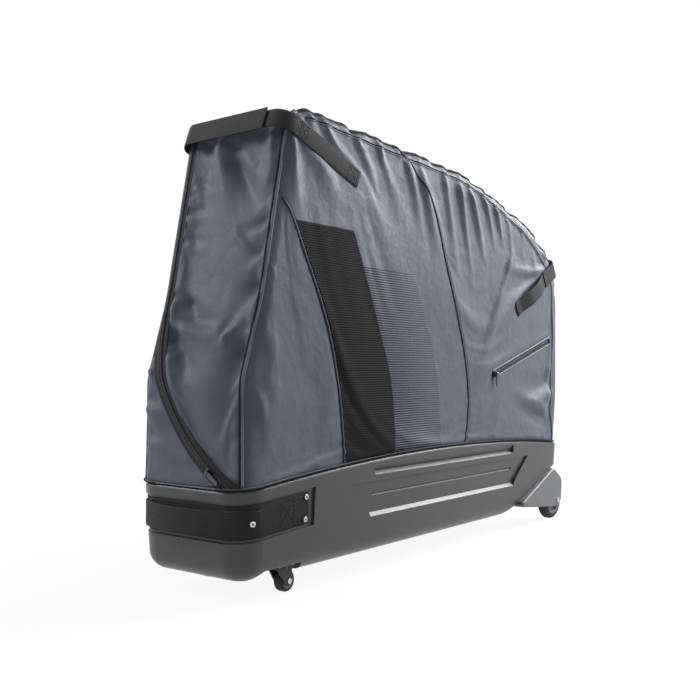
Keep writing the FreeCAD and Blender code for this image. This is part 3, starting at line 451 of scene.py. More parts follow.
def nylon():
    """Coated nylon: fine cross ribs, faint colour clouds and small creases."""
    place, show = finish("slate_nylon", Specular_IOR_Level=NYLON_SHEEN)
    x, y, z = place.parts()
    rib = z.ripple(0.0026)
    crease = place.noise(38.0, 4.0, 0.6)
    shade = place.noise(9.0, 3.0) * 0.75 + rib * 0.10 + crease * 0.15
    weave = rib * 0.6 + (x - y).ripple(0.0019) * 0.4
    small = place.bump(crease, 0.38, 0.0026, place.bump(weave, 0.25, 0.0004))
    rough = crease.between(0.3, 0.7) * 0.10 + 0.41
    return show(Base_Color=shade.shades(SLATE, 0.84, 1.14), Roughness=rough,
                Normal=place.bump(place.crinkle(15.0), 0.24, 0.0060, small))


def ribbed_cloth():
    """Dark knitted panel with close ribs."""
    place, show = finish("ribbed_cloth", Roughness=0.8, Specular_IOR_Level=0.15)
    rib = place.parts()[2].ripple(0.0046)
    cross = place.parts()[0].ripple(0.0038)
    shade = rib * 0.55 + cross * 0.2 + place.noise(14.0) * 0.25
    return show(Base_Color=shade.shades(INK, 0.75, 1.75),
                Normal=place.bump(rib * 0.8 + cross * 0.2, 0.6, 0.0009))


def striped_print():
    """Slate cloth printed with fine level lines that thin out towards the rear."""
    place, show = finish("striped_print", Specular_IOR_Level=NYLON_SHEEN)
    wave = place.parts()[2].ripple(0.0049)
    reach = place.surface()[0].between(0.0, 0.185)
    line = (wave - (reach * 0.32 + 0.19)) * 6.0
    ink = line.between(0.0, 1.0) * (1.0 - reach * 0.42)
    cover = ink * (1.0 - place.noise(9.0, 3.0) * 0.16)
    crease = place.noise(38.0, 4.0, 0.6)
    return show(Base_Color=cover.tint(scaled(SLATE, 1.02), scaled(INK, 1.7)), Roughness=ink * 0.2 + 0.42,
                Normal=place.bump(crease, 0.3, 0.002, place.bump(wave, 0.4, 0.0005)))


def webbing(name, colour):
    """Woven webbing: herringbone ribs along it, and worn crests."""
    place, show = finish(name, Specular_IOR_Level=0.3)
    across, along = place.surface()
    weave = (along + across * 0.6).ripple(0.0030) * 0.5 + across.ripple(0.0042) * 0.5
    shade = weave * 0.55 + place.noise(46.0, 3.0) * 0.45
    return show(Base_Color=shade.shades(colour, 0.55, 1.75), Roughness=0.82 - weave * 0.18,
                Normal=place.bump(weave, 0.7, 0.0010))


def moulded(name, colour, rough, grain=620.0, depth=0.00035):
    """Moulded plastic: a fine leathery grain, faint clouds, scuffs on it."""
    place, show = finish(name)
    pits = place.noise(grain, 2.0, 0.6)
    scuff = place.noise(70.0, 5.0, 0.7).between(0.58, 0.75)
    shade = place.noise(5.0, 3.0) * 0.6 + pits * 0.25 + scuff * 0.15
    return show(Base_Color=shade.shades(colour, 0.86, 1.16), Roughness=rough + pits * 0.10 - scuff * 0.06,
                Normal=place.bump(pits, 0.35, depth))


def metal(name, colour, rough):
    """Plated or drawn metal with fine marks and dull patches."""
    place, show = finish(name, Metallic=1.0)
    marks = place.noise(240.0, 4.0, 0.7)
    return show(Base_Color=place.noise(60.0, 2.0).shades(colour, 0.82, 1.0), Roughness=rough + marks * 0.16,
                Normal=place.bump(marks, 0.12, 0.0003))


def rubber():
    """Tyre rubber, scuffed paler in patches."""
    place, show = finish("rubber")
    grit = place.noise(420.0, 3.0, 0.65)
    shade = place.noise(30.0, 4.0).between(0.45, 0.75) * 0.6 + grit * 0.4
    return show(Base_Color=shade.tint((0.016, 0.016, 0.017), (0.05, 0.049, 0.047)),
                Roughness=0.70 + grit * 0.15, Normal=place.bump(grit, 0.3, 0.0004))


def lining(name, colour):
    """Plain woven lining cloth."""
    place, show = finish(name, Specular_IOR_Level=0.3)
    x, y, z = place.parts()
    weave = (x + y).ripple(0.0022) * 0.5 + z.ripple(0.0022) * 0.5
    shade = place.noise(12.0, 3.0) * 0.7 + weave * 0.3
    return show(Base_Color=shade.shades(colour, 0.8, 1.2), Roughness=0.7 + weave * 0.15,
                Normal=place.bump(weave, 0.4, 0.0005))


def piping_cloth():
    """Seam piping: the slate cloth turned over a cord, paler in places."""
    place, show = finish("piping_cloth")
    twist = place.surface()[1].ripple(0.0034)
    shade = place.noise(50.0, 3.0) * 0.6 + twist * 0.4
    return show(Base_Color=shade.shades(SLATE, 0.8, 1.25), Roughness=0.5 + twist * 0.1,
                Normal=place.bump(twist, 0.3, 0.0004))


slate_nylon = nylon()
dark_rib = ribbed_cloth()
stripes = striped_print()
black_webbing = webbing("black_webbing", WEBBING)
worn_webbing = webbing("worn_webbing", scaled(WEBBING, 1.7))
zip_cloth = webbing("zip_cloth", scaled(WEBBING, 1.25))
zip_coil = moulded("zip_coil", (0.028, 0.028, 0.03), 0.32, 900.0, 0.0001)
tray_plastic = moulded("tray_plastic", TRAY, 0.30)
housing_plastic = moulded("housing_plastic", (0.175, 0.179, 0.186), 0.34, 900.0, 0.0002)
black_nylon = moulded("black_nylon", (0.018, 0.018, 0.0195), 0.42, 800.0, 0.0002)
core_nylon = moulded("core_nylon", (0.21, 0.215, 0.22), 0.42, 800.0, 0.0002)
tyre_rubber = rubber()
bright_steel = metal("bright_steel", (0.66, 0.66, 0.68), 0.22)
dark_metal = metal("dark_metal", (0.10, 0.10, 0.108), 0.34)
alloy = metal("alloy", (0.72, 0.73, 0.74), 0.34)
lining_cloth = lining("lining_cloth", LINING)
foam_cloth = lining("foam_cloth", scaled(LINING, 0.75))
rod_plastic = moulded("rod_plastic", (0.05, 0.05, 0.053), 0.4, 500.0, 0.0002)
piping = piping_cloth()
seam_thread = webbing("seam_thread", scaled(WEBBING, 0.7))
thread_grey = webbing("thread_grey", (0.075, 0.079, 0.088))
pocket_cloth = webbing("pocket_cloth", (0.075, 0.079, 0.086))

BY_SLOT = {"tray_plastic": tray_plastic, "housing_plastic": housing_plastic, "black_plastic": black_nylon,
           "core_plastic": core_nylon, "tyre_rubber": tyre_rubber, "slate_cloth": slate_nylon,
           "dark_cloth": dark_rib, "lining_cloth": lining_cloth, "zip_tape": zip_cloth,
           "webbing": black_webbing, "pad_foam": foam_cloth, "stay_rod": rod_plastic,
           "zip_metal": dark_metal, "rivet_steel": bright_steel, "clamp_alloy": alloy}
for part in frame["record"]["subparts"]:
    node = nodes[part["node"]]
    node.data.materials.clear()
    node.data.materials.append(BY_SLOT[part["material_slot"]])


# Folds in the cloth

# One full wave and the span of random phases, in radians, and the length of the side outline
TURN = 6.283
PHASES = 6.28
OUTLINE_RUN = 2.35

# A fold's rise from its start as a share of its length, and the hollow beside it
FOLD_RISE = 0.14
HOLLOW_DEPTH = 0.6
HOLLOW_PLACE = 1.8
GATHER_SPOTS = 400


def ridge(points, start, end, width, height):
    """A fold between two points: a ridge with a hollow beside it, strongest near its start."""
    start = np.array(start)
    way = np.array(end) - start
    length = np.linalg.norm(way)
    way = way / length
    offset = points - start
    along = offset @ way / length
    beside = offset[:, 0] * way[1] - offset[:, 1] * way[0]
    rise = np.clip(along / FOLD_RISE, 0, 1)
    fall = np.clip(1 - along, 0, 1)
    taper = rise * rise * (3 - 2 * rise) * fall * fall * (3 - 2 * fall)
    spread = width * (0.75 + 0.9 * np.clip(along, 0, 1))
    crest = np.exp(-(beside / spread) ** 2)
    hollow = np.exp(-((beside - HOLLOW_PLACE * spread) / spread) ** 2)
    return height * taper * (crest - HOLLOW_DEPTH * hollow)


def gathers(points, seam, count, seed, length, height):
    """Folds that run down from a gathered seam, at uneven places and of uneven sizes."""
    draw = np.random.default_rng(seed)
    places = even(seam, GATHER_SPOTS)
    total = np.zeros(len(points))
    for k in range(count):
        start = places[int((k + 0.25 + 0.5 * draw.random()) / count * (GATHER_SPOTS - 1))]
        reach = length * (0.3 + 0.9 * draw.random())
        end = start + np.array([0.10 + 0.35 * draw.random(), -1.0]) * reach
        width = 0.008 + 0.008 * draw.random()
        size = height * (0.45 + 0.75 * draw.random())
        total += ridge(points, start + np.array([0, 0.02]), end, width, size)
    return total


def pucker(run, gap, seed, pitch, depth, reach):
    """Small puckers along a seam: ripples along it that die away beside it."""
    phase = np.random.default_rng(seed).random(3) * PHASES
    wave = np.sin(run * TURN / pitch + phase[0] + 1.3 * np.sin(run * TURN / (pitch * 3.7) + phase[1]))
    strength = 0.6 + 0.4 * np.sin(run * TURN / (pitch * 6.1) + phase[2])
    return depth * wave * strength * np.exp(-gap / reach)


# Folds seen on the side that opens, as ((x, z) from, (x, z) to, width, height)
SIDE_FOLDS = (
    ((-0.483, 0.840), (-0.478, 0.640), 0.013, 0.0090),
    ((-0.440, 0.850), (-0.330, 0.690), 0.020, 0.0085),
    ((-0.395, 0.868), (-0.290, 0.760), 0.012, 0.0080),
    ((-0.300, 0.872), (-0.180, 0.740), 0.014, 0.0085),
    ((-0.215, 0.868), (-0.120, 0.700), 0.015, 0.0070),
    ((-0.120, 0.860), (-0.030, 0.690), 0.013, 0.0075),
    ((-0.060, 0.850), (0.030, 0.610), 0.012, 0.0080),
    ((0.035, 0.855), (0.110, 0.590), 0.014, 0.0115),
    ((0.095, 0.850), (0.185, 0.560), 0.013, 0.0140),
    ((0.150, 0.840), (0.255, 0.590), 0.014, 0.0155),
    ((0.215, 0.830), (0.310, 0.640), 0.013, 0.0140),
    ((0.270, 0.815), (0.355, 0.640), 0.012, 0.0115),
    ((0.335, 0.800), (0.380, 0.640), 0.012, 0.0100),
    ((0.410, 0.790), (0.440, 0.650), 0.014, 0.0080),
    ((0.372, 0.715), (0.150, 0.330), 0.013, 0.0105),
    ((0.345, 0.690), (0.200, 0.480), 0.010, -0.0050),
    ((0.480, 0.745), (0.500, 0.610), 0.012, 0.0060),
    ((0.600, 0.345), (0.300, 0.275), 0.022, 0.0120),
    ((0.555, 0.262), (0.280, 0.330), 0.016, -0.0100),
    ((0.590, 0.420), (0.560, 0.255), 0.012, -0.0060),
    ((-0.575, 0.500), (-0.470, 0.370), 0.026, 0.0070),
    ((-0.590, 0.300), (-0.430, 0.470), 0.026, 0.0045),
    ((-0.588, 0.380), (-0.480, 0.230), 0.024, 0.0045),
    ((-0.545, 0.590), (-0.455, 0.490), 0.014, 0.0080),
)

# Folds on the side that stays, in the same way
RIGHT_FOLDS = (
    ((-0.470, 0.850), (-0.425, 0.640), 0.016, 0.0080),
    ((-0.390, 0.868), (-0.270, 0.700), 0.016, 0.0085),
    ((-0.250, 0.870), (-0.170, 0.690), 0.014, 0.0075),
    ((-0.130, 0.862), (-0.010, 0.640), 0.015, 0.0085),
    ((0.020, 0.855), (0.080, 0.620), 0.014, 0.0080),
    ((0.140, 0.842), (0.240, 0.560), 0.015, 0.0100),
    ((0.240, 0.825), (0.330, 0.610), 0.014, 0.0090),
    ((0.350, 0.795), (0.410, 0.600), 0.014, 0.0080),
    ((0.450, 0.765), (0.490, 0.600), 0.014, 0.0070),
    ((0.595, 0.360), (0.300, 0.290), 0.022, 0.0080),
    ((0.560, 0.640), (0.420, 0.470), 0.016, 0.0070),
    ((-0.250, 0.230), (-0.060, 0.300), 0.024, 0.0050),
    ((-0.585, 0.330), (-0.450, 0.460), 0.024, 0.0060),
)

# Folds seen on the front, as ((y, z) from, (y, z) to, width, height)
FRONT_FOLDS = (
    ((0.040, 0.850), (-0.020, 0.640), 0.020, 0.0120),
    ((-0.100, 0.850), (-0.108, 0.650), 0.016, 0.0110),
    ((0.010, 0.806), (-0.120, 0.660), 0.014, -0.0100),
    ((-0.030, 0.658), (-0.130, 0.575), 0.006, 0.0070),
    ((-0.125, 0.676), (-0.045, 0.650), 0.008, -0.0080),
    ((-0.120, 0.620), (-0.060, 0.600), 0.009, -0.0070),
    ((-0.122, 0.560), (-0.050, 0.520), 0.018, -0.0100),
    ((0.095, 0.754), (0.030, 0.722), 0.006, 0.0060),
    ((0.096, 0.735), (0.040, 0.700), 0.005, 0.0050),
    ((0.097, 0.690), (0.020, 0.690), 0.007, 0.0055),
    ((0.098, 0.640), (0.020, 0.620), 0.007, 0.0050),
    ((0.112, 0.535), (0.030, 0.470), 0.012, 0.0110),
    ((0.060, 0.478), (-0.070, 0.452), 0.012, 0.0100),
    ((-0.050, 0.452), (-0.105, 0.500), 0.010, 0.0080),
    ((0.070, 0.540), (0.010, 0.485), 0.010, -0.0090),
    ((0.110, 0.495), (-0.030, 0.370), 0.013, -0.0120),
    ((0.085, 0.430), (0.010, 0.340), 0.014, 0.0100),
    ((-0.110, 0.460), (-0.080, 0.350), 0.022, -0.0090),
)

# Folds on the gore beside it, in the same way
GORE_FOLDS = (
    ((0.122, 0.405), (0.070, 0.380), 0.010, 0.0070),
    ((0.122, 0.335), (0.050, 0.305), 0.012, 0.0085),
    ((0.116, 0.268), (0.010, 0.250), 0.012, 0.0075),
)

# Lines on the side where straps and the pocket zip hold the cloth flat: (x, z) from, (x, z) to, half width
FRONT_SEWN = (-0.2862, 0.7743)
REAR_SEWN = (0.3791, 0.5530)
POCKET_LOW = (0.2633, 0.3920)
POCKET_HIGH = (0.5520, 0.4750)
LANES = ((FRONT_SEWN, (-0.510, 0.8557), 0.026), (REAR_SEWN, (0.625, 0.6893), 0.022),
         (POCKET_LOW, POCKET_HIGH, 0.014))

# How far the edge seams pull the cloth in: (height, depth) up the front edge, and crumples along the top with
# their waves (pitch, size)
FRONT_PULL = ((0.190, 0.003), (0.240, 0.014), (0.330, 0.025), (0.430, 0.020), (0.520, 0.009),
              (0.600, 0.003), (0.900, 0.002))
TOP_WAVES = ((0.037, 0.5), (0.061, 0.8), (0.094, 1.0), (0.171, 1.1))
TOP_CRUMPLE = 0.0040
PULL_REACH = 0.028
LOW_PULL_REACH = 0.058
DEEP_PULL = 0.015
FRONT_EDGE = -0.46


def lane_share(flat):
    """1 where straps and the pocket zip hold the side flat, 0 away from them."""
    share = np.zeros(len(flat))
    for start, end, half in LANES:
        line = np.linspace(start, end, 120)
        share = np.maximum(share, np.exp(-(distance_to(flat, line) / half) ** 4))
    return share


def seam_pull(seed, share):
    """Depth that an edge seam is pulled in by, at every station, with a share of the pull on the front."""
    draw = np.random.default_rng(seed)
    heights, depths = np.array(FRONT_PULL).T
    x, z = outline.T
    run = np.linspace(0, OUTLINE_RUN, STATIONS)
    front = np.interp(z, heights, depths) * share
    wave = sum(size * np.sin(run * TURN / pitch + TURN * draw.random()) for pitch, size in TOP_WAVES)
    top = TOP_CRUMPLE * (0.6 + 0.4 * wave) * np.clip((z - 0.55) / 0.15, 0, 1)
    return np.where(x < -0.4, front, 0.001) + np.clip(top, -0.001, 0.010) * (x > FRONT_EDGE)


def pulled(points):
    """Moves cloth points with the edge seams, which pull the cloth in."""
    shape = points.shape
    points = points.reshape(-1, 3).copy()
    slant = math.sqrt(0.5)
    for sign, seed, front_share in ((-1, 11, 1.0), (1, 12, 0.15)):
        line = lifted(sign * SEAM_Y)
        depth = seam_pull(seed, front_share)
        for part in np.array_split(np.arange(len(points)), BATCHES):
            gaps = np.linalg.norm(points[part][:, None, :] - line[None, :, :], axis=2)
            near = gaps.argmin(1)
            reach = PULL_REACH + (LOW_PULL_REACH - PULL_REACH) * np.clip(depth[near] / DEEP_PULL, 0, 1)
            share = depth[near] * np.exp(-(gaps.min(1) / reach) ** 2) * slant
            points[part] -= at_y(outward[near], sign) * share[:, None]
    return points.reshape(shape)


# Settling: frames of simulation, the farthest that a point may move, steps of a point's weight, and the cloth
SETTLE_FRAMES = 16
SETTLE_CAP = 0.014
WEIGHT_STEPS = 20
CLOTH_SETTINGS = {"vertex_group_shrink": "slack", "shrink_min": 0.0, "shrink_max": -0.05, "quality": 5,
                  "mass": 0.12, "tension_stiffness": 22, "compression_stiffness": 22, "shear_stiffness": 8,
                  "bending_stiffness": 0.06, "vertex_group_mass": "held"}


def settle(points, faces, **groups):
    """Lets a cloth settle, with weights of its held points and of its slack. Returns its settled points."""
    mesh = bpy.data.meshes.new("trial")
    mesh.from_pydata(points.tolist(), [], faces)
    trial = bpy.data.objects.new("trial", mesh)
    scene = bpy.context.scene
    scene.collection.objects.link(trial)
    for name, weights in groups.items():
        group = trial.vertex_groups.new(name=name)
        steps = np.round(weights * WEIGHT_STEPS)
        for step in np.unique(steps[steps > 0]):
            group.add(np.flatnonzero(steps == step).tolist(), float(step / WEIGHT_STEPS), "REPLACE")
    cloth = trial.modifiers.new("settle", "CLOTH")
    for name, value in CLOTH_SETTINGS.items():
        setattr(cloth.settings, name, value)
    cloth.collision_settings.use_collision = False
    cloth.point_cache.frame_start = 1
    cloth.point_cache.frame_end = SETTLE_FRAMES
    for step in range(1, SETTLE_FRAMES + 1):
        scene.frame_set(step)
    shown = trial.evaluated_get(bpy.context.evaluated_depsgraph_get())
    settled = np.zeros(len(points) * 3, np.float32)
    shown.data.vertices.foreach_get("co", settled)
    bpy.data.objects.remove(trial)
    scene.frame_set(1)
    return settled.reshape(-1, 3).astype(float)


def settled_grids(grids, held, slack, flip):
    """Joins grids that share seams, lets them settle as one cloth, and gives them back."""
    shape = Shape(grids, flip)
    points = np.concatenate(shape.points)
    keys = {}
    first = np.array([keys.setdefault(tuple(np.round(p, 6)), k) for k, p in enumerate(points)])
    kept, merged = np.unique(first, return_inverse=True)
    faces = [list(dict.fromkeys(merged[face].tolist())) for face in shape.faces]
    held, slack = [np.concatenate([grid.ravel() for grid in weights])[kept] for weights in (held, slack)]
    moved = settle(points[kept], [face for face in faces if len(face) > 2], held=held, slack=slack)
    shift = moved[merged] - points
    size = np.linalg.norm(shift, axis=1)[:, None]
    points = points + shift * np.minimum(1.0, SETTLE_CAP / np.maximum(size, 1e-9))
    ends = np.cumsum([grid.shape[0] * grid.shape[1] for grid in grids])[:-1]
    return [part.reshape(grid.shape) for part, grid in zip(np.split(points, ends), grids)]


def cloth_piece(name, grids, flip, outside, inside, thickness=CLOTH):
    """A sheet of cloth from grids, rounded and given its thickness, with a second finish inside."""
    piece = Shape(grids, flip).piece(name, outside, inside)
    rounder = piece.modifiers.new("rounded", "SUBSURF")
    rounder.levels = 1
    rounder.render_levels = 1
    shell = piece.modifiers.new("thickness", "SOLIDIFY")
    shell.thickness = thickness
    shell.offset = -1
    shell.material_offset = 1
    shell.material_offset_rim = 0
    return piece


def on_lid(piece):
    """Bakes a piece's placement into its points, so that it stays where it was made."""
    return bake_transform(piece)


BENDING = "lid, bending over the rim"


def placed(piece, body):
    """Bakes a lid piece's placement into its points, or hangs any other piece on the empty of the body that
    it rides on.
    """
    if body == BENDING:
        on_lid(piece)
    else:
        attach(piece, body)


def cloth_area(grid):
    """Area of a grid of points in square metres."""
    a = np.cross(grid[1:, 1:] - grid[:-1, :-1], grid[1:, :-1] - grid[:-1, 1:])
    return float(np.linalg.norm(a, axis=2).sum() / 2)


def declare(grids):
    """Works out the area of a piece's grids; nothing is done with it."""
    area = sum(cloth_area(grid) for grid in grids)


def bag_cloth(node, grids, flip, body):
    """A cloth of the bag, in the place of its CAD node."""
    sheet = cloth_piece(node.replace("_panel", "") + "_cloth", grids, flip, slate_nylon, lining_cloth)
    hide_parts(node)
    declare(grids)
    placed(sheet, body)


# The side that opens: three panels

ROWS = 100
LOW_ROWS = 78
SIDE_COLUMNS = (26, 62, 72)
EDGE_STEPS = 3000
SEAM_STEPS = 300
TOP_FRONT = (-0.478, 0.872)
TOP_REAR = (0.560, 0.722)

# How firmly the lanes and the panels' seams are held, and how far below its first form cloth may settle
LANE_HOLD = 0.95
SEAM_HOLD = 0.55
SINK = 0.0034

# How slack the cloth is: near the top seam and how far from it, elsewhere, and added on the front panel
TOP_SLACK = 0.36
TOP_SLACK_REACH = 0.09
LEAST_SLACK = 0.03
FRONT_SLACK = 0.20

# How the free cloth swells, folds from the top seam (count, length, height), puckers along the seams (pitch,
# depth, reach), the dip at a sewn line, and the margins beside an edge where reliefs and long folds fade in
SWELL = 0.0042
SWELL_REACH = 0.045
TOP_FOLDS = 30
TOP_FOLD_LENGTH = 0.10
TOP_FOLD_HEIGHT = 0.0036
TOP_PUCKER = (0.043, 0.0026, 0.018)
EDGE_PUCKER = (0.034, 0.0016, 0.014)
SEAM_PUCKER = (0.019, 0.0007, 0.010)
RIM_PUCKER = (0.048, 0.0012, 0.020)
SEAM_DIP = 0.0016
SEAM_DIP_REACH = 0.0035
RELIEF_MARGIN = 0.006
FOLD_MARGIN = 0.010


def nearest(path, point):
    """Index of the path's nearest point."""
    return int(np.linalg.norm(path - np.array(point), axis=1).argmin())


def rim_run(start, end, count):
    """Points along the rim in side view."""
    x = np.linspace(start, end, count)
    return np.stack([x, rim(x) + HEM_LIFT], 1)


def rising_seam(points, end):
    """A seam as a curve from the rim to a point on the edge seam."""
    seam = smooth(points[:-1] + (tuple(end),))
    seam[0, 1] = rim(seam[0, 0]) + HEM_LIFT
    return seam


def side_curves():
    """Curves that bound the panels of one side: each one's front, rear and top."""
    fine = even(edge_seam, EDGE_STEPS)
    meet, corner, split, rear_corner = [nearest(fine, place) for place in
                                        (FRONT_SEAM[-1], TOP_FRONT, MIDDLE_SEAM[-1], TOP_REAR)]
    front_low = even(fine[:meet + 1], LOW_ROWS)
    front_high = even(fine[meet:corner + 1], ROWS - LOW_ROWS + 1)
    seam_low = even(rising_seam(FRONT_SEAM, fine[meet]), LOW_ROWS)
    middle = even(rising_seam(MIDDLE_SEAM, fine[split]), ROWS)
    rear = even(fine[rear_corner:][::-1], ROWS)
    middle_front = np.concatenate([seam_low, front_high[1:]])
    return {
        "front": (front_low, seam_low, fine[meet][None].repeat(SIDE_COLUMNS[0], 0)),
        "middle": (middle_front, middle, even(fine[corner:split + 1], SIDE_COLUMNS[1])),
        "rear": (middle, rear, even(fine[split:rear_corner + 1], SIDE_COLUMNS[2])),
    }


curves = side_curves()
panel_seams = (curves["front"][1], curves["middle"][1])
top_seam = np.concatenate([curves["middle"][2], curves["rear"][2]])


def side_folds(flat, folds):
    """Height of the long folds at points (x, z): none where straps hold the cloth and along its edges."""
    gap = np.minimum(distance_to(flat, edge_seam), flat[:, 1] - rim(flat[:, 0]))
    height = sum(ridge(flat, *fold) for fold in folds)
    return height * (1 - lane_share(flat)) * np.clip(gap / FOLD_MARGIN, 0, 1)


def side_relief(flat, seed):
    """Height of the cloth over the bag's side at points (x, z), outwards."""
    gap_top = distance_to(flat, top_seam)
    gap_edge = distance_to(flat, edge_seam)
    gap_seams = np.minimum(*[distance_to(flat, even(seam, SEAM_STEPS)) for seam in panel_seams])
    gap_rim = flat[:, 1] - rim(flat[:, 0])
    free = 1 - np.exp(-np.minimum(np.minimum(gap_edge, gap_rim * 0.7), gap_seams + 0.012) / SWELL_REACH)
    relief = SWELL * free
    relief += gathers(flat, top_seam, TOP_FOLDS, seed, TOP_FOLD_LENGTH, TOP_FOLD_HEIGHT)
    relief += pucker(flat[:, 0], gap_top, seed + 1, *TOP_PUCKER)
    relief += pucker(flat[:, 1], gap_edge, seed + 2, *EDGE_PUCKER)
    relief *= 1 - lane_share(flat)
    relief += pucker(flat[:, 1], gap_seams, seed + 3, *SEAM_PUCKER)
    relief += pucker(flat[:, 0], gap_rim, seed + 4, *RIM_PUCKER)
    relief *= np.clip(np.minimum(gap_edge, gap_rim) / RELIEF_MARGIN, 0, 1)
    relief -= SEAM_DIP * np.exp(-(gap_seams / SEAM_DIP_REACH) ** 2)
    return relief


def side_panels(sign, seed, folds):
    """Settled grids of the three panels of one side."""
    grids = []
    held = []
    slack = []
    floors = []
    heights = []
    for name, columns in zip(("front", "middle", "rear"), SIDE_COLUMNS):
        left, right, top = curves[name]
        bottom = rim_run(left[0][0], right[0][0], columns)
        flat = patch(left, right, bottom, top).reshape(-1, 2)
        size = (len(left), columns)
        depth = side_y(flat) + side_relief(flat, seed)
        grids.append(pulled(at_y(flat, sign * depth).reshape(*size, 3)))
        loose = TOP_SLACK * np.exp(-(distance_to(flat, top_seam) / TOP_SLACK_REACH) ** 2) + LEAST_SLACK
        slack.append(loose * 0.5 + FRONT_SLACK if name == "front" else loose)
        heights.append(side_folds(flat, folds).reshape(size))
        floors.append(np.minimum(depth, side_y(flat) - SINK).reshape(size))
        hold = lane_share(flat).reshape(size) * LANE_HOLD
        hold[:, 0] = hold[:, -1] = SEAM_HOLD
        hold[0] = hold[-1] = 1.0
        if name == "front":
            hold[:, 0] = 1.0
        if name == "middle":
            hold[LOW_ROWS:, 0] = 1.0
        if name == "rear":
            hold[:, -1] = 1.0
        held.append(hold)
    settled = settled_grids(grids, held, slack, sign > 0)
    for grid, start, floor, height in zip(settled, grids, floors, heights):
        least = np.minimum(floor, np.abs(start[:, :, 1]))
        grid[:, :, 1] = sign * np.maximum(np.abs(grid[:, :, 1]) + height, least)
    return settled


left_grids = side_panels(-1, 5, SIDE_FOLDS)
for name, grid in zip(("front", "middle", "rear"), left_grids):
    bag_cloth("left_" + name + "_panel", [grid], False, BENDING)


# Panels laid over the middle one: the dark ribbed one and the printed one

def laid_on(grids, sign):
    """Gives a function that lays places (x, z) on a side's cloth, standing off by a lift. -1 is the left."""
    shape = Shape(grids, sign > 0)
    surface = BVHTree.FromPolygons(np.concatenate(shape.points).tolist(), shape.faces)

    def lay(flat, lift):
        hits = [surface.ray_cast(Vector((x, sign, z)), Vector((0, -sign, 0)))[0] for x, z in flat]
        y = np.array([sign * HALF if hit is None else hit.y for hit in hits])
        return at_y(flat, y + sign * lift)

    return lay


# How far the dark panel's front edge lies beside its seam, and each overlay's rows, lift and thickness
OVERLAY_COLUMNS = 44
SEAM_LAP = 0.0045
DARK_LAY = (92, 0.0007, 0.0008)
PRINT_LAY = (84, 0.0004, 0.0001)

on_left = laid_on(left_grids, -1)


def cut_at(path, height):
    """The part of a rising path below a height, ending at it."""
    x = np.interp(height, path[:, 1], path[:, 0])
    return np.concatenate([path[path[:, 1] < height], [[x, height]]])


def overlay(name, left, right, top, cloth, rows, lift, thickness):
    """A panel laid on the left side between two curves, from the rim to a level top."""
    left = even(cut_at(left, top), rows)
    right = even(cut_at(right, top), rows)
    flat = left[:, None, :] + np.linspace(0, 1, OVERLAY_COLUMNS)[None, :, None] * (right - left)[:, None, :]
    low = flat[0, :, 1].copy()
    target = rim(flat[0, :, 0]) + HEM_LIFT
    share = (top - flat[:, :, 1]) / np.maximum(top - low, 1e-6)
    flat[:, :, 1] += (target - low) * np.clip(share, 0, 1)
    grid = on_left(flat.reshape(-1, 2), lift).reshape(rows, OVERLAY_COLUMNS, 3)
    panel = cloth_piece(name, [grid], False, cloth, lining_cloth, thickness)
    declare([grid])
    return panel


dark_edge = smooth(DARK_EDGE)
dark_panel = overlay("dark_panel", panel_seams[0] + (SEAM_LAP, 0.0), dark_edge, DARK_TOP, dark_rib, *DARK_LAY)
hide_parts("left_overlay")
placed(dark_panel, BENDING)
print_panel = overlay("print_panel", dark_edge, smooth(STRIPE_EDGE), STRIPE_TOP, stripes, *PRINT_LAY)
print_panel.modifiers["thickness"].use_rim = False
placed(print_panel, BENDING)


# Front, top and rear of the lid

BAND_COLUMNS = 34
WARP = np.linspace(0, 1, BAND_COLUMNS)
FRONT_FOLD_SHARE = 1.5
BAND_SLACK = 0.50
BAND_SWELL = 0.0090
BAND_SWELL_REACH = 0.05
BAND_RIPPLE = 0.0030
LOW_PUCKER = (0.030, 0.0042, 0.022)
HIGH_PUCKER = (0.037, 0.0030, 0.020)
FRONT_END = -0.446
REAR_START = 0.551


def zip_y(sweep):
    """Place along Y of a line beside the main zip, at every station."""
    drop = np.minimum(outline[:, 1] - ZIP_MIDDLE_Z, 0.0)
    return ZIP_MIDDLE_Y + np.sqrt(np.maximum(sweep ** 2 - drop ** 2, 0.0))


def band_y(low, high):
    """Places along Y of a grid between two lines, with their distances to the one and to the other."""
    y = low[:, None] + WARP * (high - low)[:, None]
    return y, y - low[:, None], high[:, None] - y


def band_points(low, high, lift):
    """Grid over the front, top and rear between two lines, standing off the bag's form by a lift."""
    y = band_y(low, high)[0]
    return pulled(np.stack([lifted(y[:, k], lift[:, k]) for k in range(BAND_COLUMNS)], 1))


def band_relief(low, high, seed):
    """Height of the cloth over the front, top and rear between two lines."""
    y, from_low, from_high = band_y(low, high)
    run = np.linspace(0, 1, STATIONS)[:, None] * OUTLINE_RUN + 0 * y
    gap = np.minimum(from_low, from_high)
    front = 1 / (1 + np.exp((outline[:, :1] + 0.45) / 0.015))
    relief = (1 - front) * BAND_RIPPLE * np.sin(run * TURN / 0.105 + 3 * y / 0.13 + 1.7 * np.sin(run * 9.0))
    relief += BAND_SWELL * (1 - np.exp(-gap / BAND_SWELL_REACH))
    relief += pucker(run, from_low, seed, *LOW_PUCKER)
    relief += pucker(run, from_high, seed + 1, *HIGH_PUCKER)
    return relief * np.clip(gap / RELIEF_MARGIN, 0, 1)


def front_folds(low, high, folds):
    """Height of the long folds on a cloth of the front, between two lines."""
    y, from_low, from_high = band_y(low, high)
    x, z = outline.T
    flat = np.stack([y, z[:, None] + 0 * y], -1).reshape(-1, 2)
    relief = sum(ridge(flat, *fold) for fold in folds).reshape(y.shape)
    gap = np.minimum(from_low, from_high)
    return relief * (x < -0.47)[:, None] * np.clip(gap / FOLD_MARGIN, 0, 1)


